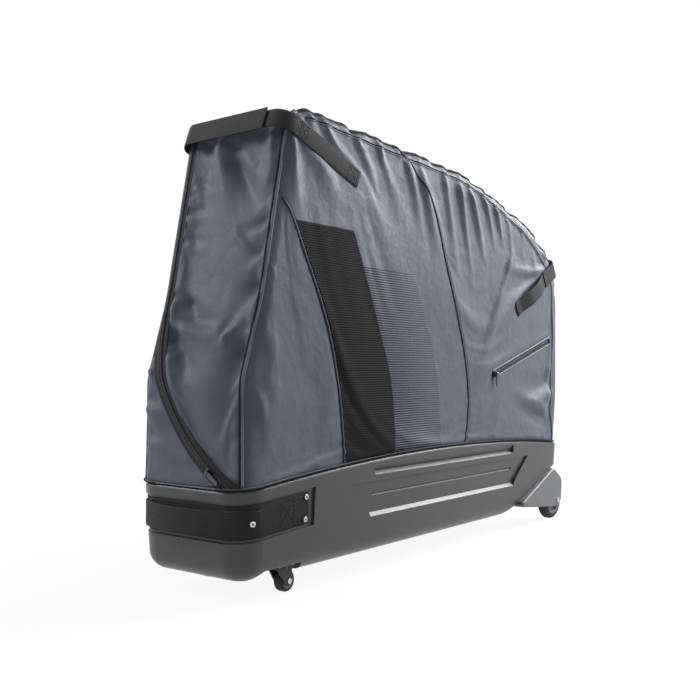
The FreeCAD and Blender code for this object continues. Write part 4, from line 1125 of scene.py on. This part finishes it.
lid_low = np.full(STATIONS, -SEAM_Y)
lid_high = np.maximum(zip_y(ZIP_SWEEP - ZIP_TAPE), lid_low + 0.0008)
band_held = np.zeros((STATIONS, BAND_COLUMNS))
band_held[:, [0, -1]] = 1.0
band_held[[0, -1]] = 1.0
band_slack = np.full((STATIONS, BAND_COLUMNS), BAND_SLACK)
band_start = band_points(lid_low, lid_high, band_relief(lid_low, lid_high, 21))
lid_band = settled_grids([band_start], [band_held], [band_slack], True)[0]
front_height = front_folds(lid_low, lid_high, FRONT_FOLDS) * FRONT_FOLD_SHARE
lid_band += at_y(outward, 0.0)[:, None] * front_height[:, :, None]
front_end = int(np.flatnonzero(outline[:, 0] > FRONT_END)[0])
rear_start = int(np.flatnonzero(outline[:, 0] > REAR_START)[0])
for name, part in (("front", lid_band[:front_end + 1]), ("top", lid_band[front_end:rear_start + 1]),
                   ("rear", lid_band[rear_start:])):
    bag_cloth(name + "_panel", [part], True, BENDING)


# The side that stays: its wall and the two gores

GORE_LEAST = 0.002
GORE_SHARE = 0.8

right_grids = side_panels(1, 47, RIGHT_FOLDS)
on_right = laid_on(right_grids, 1)
bag_cloth("right_wall", right_grids, True, "case")
gore_low = zip_y(ZIP_SWEEP + ZIP_TAPE)
gore_rows = gore_low < SEAM_Y - GORE_LEAST
gore_high = np.maximum(SEAM_Y, gore_low + GORE_LEAST)
gore_relief = band_relief(gore_low, gore_high, 63) * GORE_SHARE + front_folds(gore_low, gore_high, GORE_FOLDS)
gore_band = band_points(gore_low, gore_high, gore_relief)
for name, end in (("front", outline[:, 0] < 0), ("rear", outline[:, 0] > 0)):
    bag_cloth(name + "_gore", [gore_band[gore_rows & end]], True, "case")


# Seams: piping along the edges, and sewn lines with their stitches

# Radii of cords, and how far ridges, stitches and the dark cord of painted groove shade lie beside their
# seams
PIPING = 0.0024
EDGE_CORD = 0.0022
GROOVE_SHADE_CORD = 0.0017
SEAM_CORD = 0.0014
SEAM_RIDGE = 0.0013
HEM_SHADOW_CORD = 0.0012
RIDGE_BESIDE = 0.0034
STITCH_BESIDE = 0.0085
GROOVE_SHADE_BESIDE = 0.0042
SIDE_SEAM_INSET = 0.024
REAR_SEAM_INSET = 0.044


def seam_piece(name, paths, radius, material, body):
    """Cords along seams, as one piece."""
    shape = Shape()
    for path in paths:
        shape.tube(path, radius)
    placed(shape.piece(name, material), body)


def edge_line(y, lift):
    """Line along a long edge of the bag, pulled in with its cloth."""
    return pulled(lifted(y, lift))


def side_seam(more):
    """The edge seam where it lies on the side: below the top edge and before the rear one."""
    x, z = outline.T
    share = np.clip((x - 0.25) / 0.35, 0, 1) * np.clip((z - 0.20) / 0.08, 0, 1)
    inset = SIDE_SEAM_INSET + (REAR_SEAM_INSET - SIDE_SEAM_INSET) * share * share * (3 - 2 * share) + more
    return even((outline - outward * inset[:, None])[x > -0.455], SEAM_STEPS)


front_part = outline[:, 0] < FRONT_EDGE
seam_piece("left_edge_piping", [edge_line(-SEAM_Y, 0.0008)[front_part]], PIPING, piping, BENDING)
seam_piece("left_edge_cord", [edge_line(-SEAM_Y, 0.0006)[~front_part]], EDGE_CORD, seam_thread, BENDING)
seam_piece("right_edge_piping", [edge_line(SEAM_Y, 0.0008)], PIPING, piping, "case")
side_seams = [even(panel_seams[0], 160)[:-4], even(panel_seams[1], 180)[:-3]]
for name, lay, body in (("side", on_left, BENDING), ("right", on_right, "case")):
    cords = [lay(path, 0.0004) for path in side_seams]
    ridges = [lay(path + (RIDGE_BESIDE, 0.0), 0.0002) for path in side_seams]
    seam_piece(name + "_seam_cords", cords, SEAM_CORD, seam_thread, body)
    seam_piece(name + "_seam_ridges", ridges, SEAM_RIDGE, piping, body)
for name, lay, body in (("left", on_left, BENDING), ("right", on_right, "case")):
    seam_piece(name + "_side_seam", [lay(side_seam(0.0), 0.0006)], SEAM_CORD, seam_thread, body)
    seam_piece(name + "_side_ridge", [lay(side_seam(RIDGE_BESIDE), 0.0003)], SEAM_RIDGE, piping, body)
# Dark cord beside the front edge seam: painted shade, standing in for the shade in the groove there
groove_shade_line = edge_line(-SEAM_Y + GROOVE_SHADE_BESIDE, 0.0006)
seam_piece("left_edge_groove", [groove_shade_line], GROOVE_SHADE_CORD, seam_thread, BENDING)


def stitches(shape, path, out, pitch=0.0052, share=0.62, thread=0.0009):
    """Adds a row of stitches along a path: short threads that lie on the cloth."""
    places = even(path, max(int(length_of(path) / pitch), 2))
    way = ways(places)
    side = units(np.cross(way, out))
    sizes = (pitch * share, thread, thread * 0.8)
    for place, *axes in zip(places, way, side, np.cross(way, side)):
        shape.box(place, sizes, axes)


for name, lay, sign, body in (("side", on_left, -1, BENDING), ("right", on_right, 1, "case")):
    rows = Shape()
    for path in side_seams:
        stitches(rows, lay(path[3:] + (STITCH_BESIDE, 0.0), 0.0004), (0, sign, 0))
    placed(rows.piece(name + "_topstitching", thread_grey), body)


# Binding round the hem

HEM_ROUND = 0.050
HEM_OUT = 0.0058
HEM_WIDTH = 0.0116
HEM_RISE = 0.0012


def closed_loop(corners, count):
    """Closed outline through rounded corners (u, v, radius), as evenly spaced points."""
    first = np.array(corners[0][:2])
    last = np.array(corners[-1][:2])
    start = (*((first + last) / 2), 0.0)
    return even(rounded((start, *corners, start)), count + 1)[:-1]


def round_box(low, high, radius, count):
    """Closed rectangle with round corners."""
    corners = ((high[0], low[1]), high, (low[0], high[1]), low)
    return closed_loop([(*corner, radius) for corner in corners], count)


def hem():
    """Binding sewn round the hem of the cloth, lying on the rim, with a dark cord along its outer edge that
    is painted shade, standing in for the shadow line where the cloth meets the tray.
    """
    side = HALF + HEM_OUT
    plan = round_box((outline[0, 0] - HEM_OUT, -side), (outline[-1, 0] + HEM_OUT, side), HEM_ROUND, 420)
    plan = np.concatenate([plan, plan[:1]])
    line = np.column_stack([plan, rim(plan[:, 0]) + HEM_RISE])
    out = units(np.cross(np.gradient(line, axis=0), (0, 0, 1)))
    shape = Shape()
    shape.ribbon(line, out, HEM_WIDTH, CLOTH)
    placed(shape.piece("hem_tape", piping), "case")
    # Dark cord along the binding's outer edge: painted shadow line between cloth and tray
    seam_piece("hem_shadow_cord", [line + out * HEM_WIDTH * 0.5], HEM_SHADOW_CORD, seam_thread, "case")


hem()


# Main zip

TAPE_LAP = 0.002
TAPE_GAP = 0.0003
TAPE_LIFT = -0.0004
TOOTH_LIFT = 0.0010
TOOTH_PITCH = 0.0036
TOOTH_OFFSET = 0.0026
MAIN_TOOTH = (0.0044, 0.0020, 0.0018)
POCKET_TOOTH = (0.0050, 0.0019, 0.0014)


def zip_strip(name, inner, outer, node, body):
    """One tape of the main zip, lying on the bag."""
    columns = [lifted(zip_y(inner + share * (outer - inner)), TAPE_LIFT) for share in np.linspace(0, 1, 6)]
    tape = cloth_piece(name, [np.stack(columns, 1)], True, zip_cloth, zip_cloth)
    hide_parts(node)
    placed(tape, body)


def tooth_piece(name, places, sizes, axes, body):
    """Coil teeth at some places: blocks with their sizes across, along and out of the zip."""
    axes = [np.broadcast_to(np.asarray(axis, float), places.shape) for axis in axes]
    shape = Shape()
    for place, *turned in zip(places, *axes):
        shape.box(place, sizes, turned)
    placed(shape.piece(name, zip_coil), body)


def zip_teeth(name, offset, body):
    """Coil teeth along one side of the main zip."""
    y = zip_y(ZIP_SWEEP + offset)
    line = lifted(y, TOOTH_LIFT)
    count = int(length_of(line) / TOOTH_PITCH)
    places = even(line, count)
    along = ways(places)
    out = units(even(lifted(y, TOOTH_LIFT + 0.01), count) - places)
    tooth_piece(name, places, MAIN_TOOTH, (np.cross(along, out), along, out), body)


zip_strip("lid_tape", ZIP_SWEEP - ZIP_TAPE - TAPE_LAP, ZIP_SWEEP - TAPE_GAP, "lid_zip_tape", BENDING)
zip_strip("wall_tape", ZIP_SWEEP + TAPE_GAP, ZIP_SWEEP + ZIP_TAPE + TAPE_LAP, "wall_zip_tape", "case")
zip_teeth("lid_teeth", -TOOTH_OFFSET, BENDING)
zip_teeth("wall_teeth", TOOTH_OFFSET, "case")


# Straps over the front and rear edges: each edge's sewn end, slope in degrees and direction along X

STRAP = 0.0022
SIDE_LINE = HALF + 0.0003 + STRAP / 2 + 0.0012
HANDLE_BOW = 0.012
FRONT_WIDTH = 0.036
TAB_WIDTH = 0.044
HANDLE_WIDTH = 0.038
SLEEVE_WIDTH = 0.042
FRONT_LINE = (FRONT_SEWN, 20.0, -1)
REAR_LINE = (REAR_SEWN, 29.0, 1)


def strap_path(sewn, slope, sign, corners):
    """Path of a strap from corners (distance, y, radius) in its own sloping plane."""
    flat = even(rounded(corners, 16), 160)
    tilt = math.radians(slope)
    way = np.array([sign * math.cos(tilt), 0.0, math.sin(tilt)])
    across = np.array([-sign * math.sin(tilt), 0.0, math.cos(tilt)])
    origin = np.array([sewn[0], 0.0, sewn[1]])
    path = origin + flat[:, :1] * way
    path[:, 1] = flat[:, 1]
    return path, across


def strap_piece(name, paths, across, width, cloth, body, node, thickness=STRAP):
    """Webbing along one or more paths."""
    shape = Shape()
    for path in paths:
        shape.ribbon(path, across, width, thickness)
    strap = shape.piece(name, cloth)
    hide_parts(node)
    placed(strap, body)


def edge_strap(name, line, corners, width, body, node):
    """Webbing over an edge of the bag. Returns its path and the direction across it."""
    path, across = strap_path(*line, corners)
    strap_piece(name, [path], across, width, worn_webbing, body, node)
    return path, across


front_strap = edge_strap("front_strap_webbing", FRONT_LINE, (
    (0.0, -SIDE_LINE, 0.0), (0.2331, -SIDE_LINE, 0.034), (0.2331, -0.072, 0.0)),
    FRONT_WIDTH, "lid", "front_strap")
edge_strap("front_tab_webbing", FRONT_LINE, (
    (0.2371, -0.090, 0.0), (0.2372, 0.0, 0.0), (0.2371, 0.1007, 0.0)),
    TAB_WIDTH, "front_tab", "front_tab")
edge_strap("front_tab_root", FRONT_LINE, (
    (0.0, SIDE_LINE, 0.0), (0.2371, SIDE_LINE, 0.032), (0.2371, 0.1010, 0.0)),
    TAB_WIDTH, "case", "front_tab_base")
rear_handle = edge_strap("rear_handle_webbing", REAR_LINE, (
    (0.0, -SIDE_LINE, 0.0), (0.026, -SIDE_LINE, 0.03), (0.070, -SIDE_LINE - HANDLE_BOW, 0.08),
    (0.120, -SIDE_LINE - HANDLE_BOW, 0.08), (0.176, -SIDE_LINE, 0.05), (0.2711, -SIDE_LINE, 0.034),
    (0.2711, 0.069, 0.013), (0.252, 0.069, 0.0)), HANDLE_WIDTH, "lid", "rear_handle")
edge_strap("rear_sleeve_webbing", REAR_LINE, (
    (0.176, -SIDE_LINE - 0.0025, 0.0), (0.2736, -SIDE_LINE - 0.0025, 0.0365), (0.2736, -0.062, 0.0)),
    SLEEVE_WIDTH, "lid", "rear_sleeve")


# Tow strap round the front of the tray

TRAY_ROUND = 0.060
TRAY_END = 0.6195
TRAY_SIDE = 0.1425
TRAY_LEAN = 0.012 / 0.195
TRAY_CORNER = np.array([-TRAY_END + TRAY_ROUND, TRAY_SIDE - TRAY_ROUND])
TOW_HEIGHT = 0.1405
TOW_RISE = 0.013 / 0.1945
TOW_RECESS = 0.0019
BAND_END = -0.4385
BAND_HALF = 0.00125
BAND_WIDTH = 0.0595
GRIP_WIDTH = 0.046


def band_height(x):
    """Height of the tow band's middle, which rises a little towards its ends."""
    return TOW_HEIGHT + TOW_RISE * (x + TRAY_END)


def tow_band():
    """Path of the wide band in the tray's recess, and the directions across it."""
    inset = TRAY_LEAN * (RIM_CROWN - TOW_HEIGHT) + TOW_RECESS + BAND_HALF
    side = TRAY_SIDE - inset
    front = -TRAY_END + inset
    turn = TRAY_ROUND - inset
    corners = ((BAND_END, -side, 0.0), (front, -side, turn), (front, side, turn), (BAND_END, side, 0.0))
    flat = even(rounded(corners), 220)
    across = np.column_stack([normals_of(flat) * TRAY_LEAN, np.ones(len(flat))])
    return np.column_stack([flat, band_height(flat[:, 0])]), across


def tow_grip():
    """Path of the grip over the band, bowed away from it across the front."""
    radius = TRAY_ROUND - TRAY_LEAN * (RIM_CROWN - TOW_HEIGHT - 0.023) - TOW_RECESS + 0.0003 + 0.0015
    leave = math.radians(66)
    turns = np.linspace(math.radians(9), leave, 30)
    left = TRAY_CORNER * (1, -1) - radius * np.stack([np.sin(turns), np.cos(turns)], 1)
    reach = TRAY_CORNER[1] / math.cos(leave)
    bow = np.linspace(-(math.pi / 2 - leave), math.pi / 2 - leave, 60)[1:-1]
    centre = TRAY_CORNER[0] + reach * math.sin(leave)
    front = np.stack([centre - (radius + reach) * np.cos(bow), (radius + reach) * np.sin(bow)], 1)
    flat = np.concatenate([left, front, left[::-1] * (1, -1)])
    return even(np.column_stack([flat, np.full(len(flat), TOW_HEIGHT)]), 200)


band_path, band_across = tow_band()
strap_piece("tow_band_webbing", [band_path], band_across, BAND_WIDTH, black_webbing, "case", "tow_band")
strap_piece("tow_grip_webbing", [tow_grip()], (0, 0, 1), GRIP_WIDTH, black_webbing, "case", "tow_grip")


# Pocket zip: tape, teeth, two folded lips and a sewn edge on the rear panel

POCKET_MARGIN = 0.012
POCKET_WIDTH = 0.016
LIP_BESIDE = 0.0088
POCKET_EDGE = 0.0064

pocket_way = np.array(POCKET_HIGH) - np.array(POCKET_LOW)
pocket_length = np.linalg.norm(pocket_way)
pocket_way /= pocket_length
pocket_up = np.array([-pocket_way[1], pocket_way[0]])


def pocket_line(offset, count=90, margin=POCKET_MARGIN):
    """Places (x, z) along the pocket zip, beside its middle by an offset."""
    run = np.linspace(-margin, pocket_length + margin, count)
    return np.array(POCKET_LOW) + run[:, None] * pocket_way + offset * pocket_up


def pocket_zip():
    """The zip's tape laid on the panel, its teeth, lips and edge."""
    offsets = np.linspace(-POCKET_WIDTH / 2, POCKET_WIDTH / 2, 5)
    tape_grid = np.stack([on_left(pocket_line(offset), 0.0010) for offset in offsets])
    tape = cloth_piece("pocket_tape", [tape_grid], False, pocket_cloth, zip_cloth, 0.0008)
    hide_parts("pocket_zip")
    placed(tape, "lid")
    places = on_left(pocket_line(0.0, int(pocket_length / TOOTH_PITCH), 0.0), 0.0016)
    axes = [(way[0], 0.0, way[1]) for way in (pocket_up, pocket_way)]
    tooth_piece("pocket_teeth", places, POCKET_TOOTH, (*axes, (0, -1, 0)), "lid")
    lips = [on_left(pocket_line(offset), 0.0006) for offset in (-LIP_BESIDE, LIP_BESIDE)]
    seam_piece("pocket_lips", lips, PIPING, piping, BENDING)
    low, high = [pocket_line(offset) for offset in (-POCKET_EDGE, POCKET_EDGE)]
    edges = [on_left(line, 0.0012) for line in (low, high)]
    edges += [on_left(np.linspace(low[end], high[end], 12), 0.0014) for end in (0, -1)]
    seam_piece("pocket_edges", edges, SEAM_RIDGE, seam_thread, BENDING)


pocket_zip()


# Stitching on the straps, and dark discs painted on the rivets as the shade in their hollow centres

STITCH_LIFT = STRAP / 2 + 0.0003
BOX_STITCH = (0.0040, 0.66, 0.0008)
RIVET_INSET = 0.0105
RIVET_SPREAD = 0.0205
RIVET_TURN = math.radians(26)
RIVET_SHADE_RADIUS = 0.0023


def boxed_stitches(shape, centre, along, across, length, width):
    """Adds a sewn square with its cross, lying on a strap."""
    out = np.cross(along, across)
    a = along * length / 2
    b = across * width / 2
    corners = [centre - a - b, centre + a - b, centre + a + b, centre - a + b]
    for start, end in ((0, 3), (1, 0), (2, 1), (3, 2), (0, 2), (1, 3)):
        stitches(shape, np.linspace(corners[start], corners[end], 20), out, *BOX_STITCH)


def sewn_squares(name, body, path, across, lift, width, spots):
    """Sewn squares on one strap, each (index along its path, length)."""
    shape = Shape()
    for spot, length in spots:
        along = units(path[spot + 1] - path[spot - 1])
        beside = square_to(along, np.broadcast_to(across, path.shape)[spot])
        boxed_stitches(shape, path[spot] + np.cross(along, beside) * lift, along, beside, length, width)
    placed(shape.piece(name, thread_grey), body)


sewn_squares("front_strap_stitches", "lid", *front_strap, -STITCH_LIFT, 0.026, ((12, 0.028), (100, 0.020)))
sewn_squares("rear_handle_stitches", "lid", *rear_handle, STITCH_LIFT, 0.028, ((8, 0.028),))
sewn_squares("tow_band_stitches", "case", band_path, band_across, -STITCH_LIFT, 0.044,
             ((22, 0.036), (197, 0.036)))


def rivet_hollow_shade():
    """Dark disc on the head of every rivet of the tow strap, placed by the CAD node's faces: painted shade
    standing in for the rivet's hollow centre.
    """
    node = nodes["tow_rivets"]
    corners = [node.matrix_world @ corner.co for corner in node.data.vertices]
    heads = BVHTree.FromPolygons(corners, [list(face.vertices) for face in node.data.polygons])
    band_x = BAND_END - RIVET_INSET
    shape = Shape()
    for side in (-1, 1):
        grip_way = np.array([-math.sin(RIVET_TURN), side * math.cos(RIVET_TURN), 0.0])
        spots = [(np.array([TRAY_CORNER[0], side * TRAY_CORNER[1], TOW_HEIGHT]), grip_way)]
        for step in (-RIVET_SPREAD, RIVET_SPREAD):
            spots.append((np.array([band_x, 0.0, band_height(band_x) + step]), np.array([0.0, side, 0.0])))
        for middle, way in spots:
            hit = heads.ray_cast(Vector(middle + way * 0.4), Vector(-way))[0]
            if hit is not None:
                ends = np.array([np.array(hit) - way * 0.0005, np.array(hit) + way * 0.0003])
                # Each disc is painted shade for the rivet's hollow
                shape.tube(ends, RIVET_SHADE_RADIUS, 16, (0, 0, 1))
    placed(shape.piece("rivet_hollow_shade", dark_metal), "case")


rivet_hollow_shade()


# Inside: pads, straps and pockets

PAD_ROUND = 0.040
CRADLE_NOTCH = 0.024
HOLD_INSET = 0.0125
HOLD_WIDTH = 0.0245
HOLD_THICKNESS = 0.0018
BINDING = 0.0022
MOUTH_HALF = 0.8

# A cushion's edge and crowned face (share drawn in, share of its depth), and the cradle's ends (y, share)
CUSHION = ((0.030, 0.0), (0.006, 0.14), (0.0, 0.40), (0.004, 0.66), (0.024, 0.82), (0.08, 0.90),
           (0.25, 0.96), (0.55, 0.99), (0.85, 1.0))
CRADLE_ENDS = ((-1.0, 0.94), (-0.985, 0.98), (-0.94, 1.0), (0.0, 1.0), (0.94, 1.0), (0.985, 0.98),
               (1.0, 0.94))


def soft_piece(name, rings, material, body, node):
    """Padded closed form through rings of points."""
    shape = Shape()
    shape.grid(np.stack(rings), wrap=True, caps=True)
    pad = shape.piece(name, material)
    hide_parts(node)
    placed(pad, body)


def cushion_rings(loop, to_space, depth):
    """Rings of a cushion over a flat outline, with rounded edges and a crowned face."""
    middle = loop.mean(0)
    return [to_space(middle + (loop - middle) * (1 - inset), height * depth) for inset, height in CUSHION]


def floor_cushion():
    """Pad on the tray's floor."""
    low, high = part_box("floor_pad")
    loop = round_box(low[:2], high[:2], PAD_ROUND, 160)

    def level(ring, rise):
        return np.column_stack([ring, np.full(len(ring), low.z + rise)])

    rings = cushion_rings(loop, level, high.z - low.z)
    soft_piece("floor_cushion", rings, foam_cloth, "case", "floor_pad")


def cradle():
    """Foam block with a notch across its top, soft at its edges."""
    low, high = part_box("frame_cradle")
    middle = (low.x + high.x) / 2
    left = middle - CRADLE_NOTCH
    right = middle + CRADLE_NOTCH
    notch = high.z - CRADLE_NOTCH
    loop = closed_loop((
        (low.x, low.z, 0.004), (low.x, high.z, 0.010), (left, high.z, 0.006), (left, notch, 0.018),
        (right, notch, 0.018), (right, high.z, 0.006), (high.x, high.z, 0.010),
        (high.x, low.z, 0.004)), 180)
    centre = np.array([middle, low.z + 0.020])
    rings = [at_y(np.maximum(centre + (loop - centre) * share, (-np.inf, low.z)), y * high.y)
             for y, share in CRADLE_ENDS]
    soft_piece("cradle_foam", rings, foam_cloth, "case", "frame_cradle")


def hold_down():
    """Two webbing straps over the cradle, one each side of its notch."""
    low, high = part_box("hold_straps")
    side = high.y - 0.001
    top = high.z - 0.001
    corners = ((-side, low.z, 0.0), (-side, top, 0.005), (side, top, 0.005), (side, low.z, 0.0))
    flat = even(rounded(corners), 120)
    middles = (low.x + HOLD_INSET, high.x - HOLD_INSET)
    paths = [np.column_stack([np.full(len(flat), x), flat]) for x in middles]
    strap_piece("hold_webbing", paths, (1, 0, 0), HOLD_WIDTH, black_webbing, "case", "hold_straps",
                HOLD_THICKNESS)


def wheel_pocket(name, side, body):
    """Flat round pocket for a cycle wheel, with a bound edge and a mouth across its upper part."""
    low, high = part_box(name + "_pocket")
    radius = (high.x - low.x) / 2 - 0.002
    centre = np.array([(low.x + high.x) / 2, (low.z + high.z) / 2])
    ring = circle(120)
    wall = low.y if side < 0 else high.y
    depth = high.y - low.y
    loop = centre + radius * ring * (1, -side)
    rings = cushion_rings(loop, lambda loop, rise: at_y(loop, wall - side * rise), depth)
    soft_piece(name + "_pouch", rings, lining_cloth, body, name + "_pocket")
    edge = centre + (radius - 0.004) * np.concatenate([ring, ring[:1]])
    x = np.linspace(-MOUTH_HALF, MOUTH_HALF, 60)
    mouth = np.stack([x, 0.52 - 0.06 * np.cos(x / MOUTH_HALF * math.pi / 2)], 1)
    shape = Shape()
    for line in (edge, centre + mouth * radius):
        shape.tube(at_y(line, wall - side * depth * 0.92), BINDING)
    placed(shape.piece(name + "_binding", black_webbing), body)


def pocket_bag():
    """Pouch behind the pocket zip, with its mouth along the sloping zip."""
    low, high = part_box("pocket_pouch")
    loop = closed_loop(((low.x, low.z, 0.014), (high.x, low.z, 0.014), (high.x, high.z, 0.004),
                        (low.x, high.z - (POCKET_HIGH[1] - POCKET_LOW[1]), 0.004)), 140)
    rings = cushion_rings(loop, lambda ring, rise: at_y(ring, low.y + rise), high.y - low.y)
    soft_piece("pocket_bag", rings, lining_cloth, "lid", "pocket_pouch")


floor_cushion()
cradle()
hold_down()
wheel_pocket("left_wheel", -1, "lid")
wheel_pocket("right_wheel", 1, "case")
pocket_bag()


# Camera, floor and light

def look():
    """The photograph's camera."""
    camera = bpy.data.objects.new("camera", bpy.data.cameras.new("camera"))
    bpy.context.scene.collection.objects.link(camera)
    yaw = math.radians(CAMERA_YAW)
    pitch = math.radians(CAMERA_PITCH)
    ahead = Vector((math.cos(yaw) * math.cos(pitch), math.sin(yaw) * math.cos(pitch), math.sin(pitch)))
    camera.location = CAMERA_PLACE
    camera.rotation_mode = "QUATERNION"
    camera.rotation_quaternion = ahead.to_track_quat("-Z", "Y")
    camera.data.lens = CAMERA_LENS
    camera.data.sensor_width = 36.0
    camera.data.clip_start = 0.05
    camera.data.clip_end = 60.0
    bpy.context.scene.camera = camera


def background_rays(wire):
    """1 for rays that see the background: straight from the camera, mirrored, or through glass."""
    path = wire.node("ShaderNodeLightPath", {}, {})
    outs = path.socket.node.outputs
    seen = [Wire(path.tree, outs["Is " + kind + " Ray"]) for kind in ("Camera", "Glossy", "Transmission")]
    return path.maths("MAXIMUM", path.maths("MAXIMUM", seen[0], seen[1]), seen[2])


FLOOR_HALF = 14.0


def floor():
    """Plain pale floor that keeps a soft shadow."""
    shape = Shape([np.array([[(-1, -1, 0), (1, -1, 0)], [(-1, 1, 0), (1, 1, 0)]]) * FLOOR_HALF])
    place, show = finish("pale_floor", Base_Color=(0.55, 0.55, 0.55, 1), Roughness=0.9)
    tree = place.tree
    shader = Wire(tree, tree.nodes["Principled BSDF"].outputs[0])
    white = place.node("ShaderNodeEmission", {}, {"Color": (1, 1, 1, 1), "Strength": 1.12})
    x, y = place.parts()[:2]
    away = (x * x + y * y) ** 0.5
    share = background_rays(place) * (away.between(0.9, 2.4) * 0.18 + 0.82)
    mixed = place.node("ShaderNodeMixShader", {}, {0: share, 1: shader, 2: white})
    tree.links.new(mixed.socket, tree.nodes["Material Output"].inputs["Surface"])
    shape.piece("floor", show())


def lamp(name, place, target, size, power):
    """Large soft lamp aimed at a point."""
    light = bpy.data.lights.new(name, "AREA")
    light.shape = "RECTANGLE"
    light.size, light.size_y = size
    light.energy = power
    holder = bpy.data.objects.new(name, light)
    holder.location = place
    holder.rotation_euler = (Vector(target) - Vector(place)).to_track_quat("-Z", "Y").to_euler()
    bpy.context.scene.collection.objects.link(holder)


def studio():
    """Soft studio light: large lamps overhead, to the far left and behind, and a white surround."""
    world = bpy.data.worlds.new("studio")
    bpy.context.scene.world = world
    world.use_nodes = True
    tree = world.node_tree
    shade = tree.nodes["Background"]
    strength = background_rays(Wire(tree, shade.outputs[0])) * 0.94 + 0.06
    tree.links.new(strength.socket, shade.inputs["Strength"])
    shade.inputs["Color"].default_value = (1, 1, 1, 1)
    lamp("overhead", (0.2, -0.3, 3.0), (0, 0, 0.4), (2.2, 1.2), 10)
    lamp("far_left", (-2.0, 2.0, 2.3), (-0.5, 0, 0.5), (1.2, 1.6), 52)
    lamp("rear_right", (2.6, -1.5, 2.1), (0.1, -0.1, 0.45), (1.6, 1.8), 114)
    lamp("behind", (2.9, -0.35, 1.95), (0.1, -0.15, 0.2), (1.0, 1.0), 34)


look()
floor()
studio()
bpy.context.scene.view_settings.view_transform = "Standard"
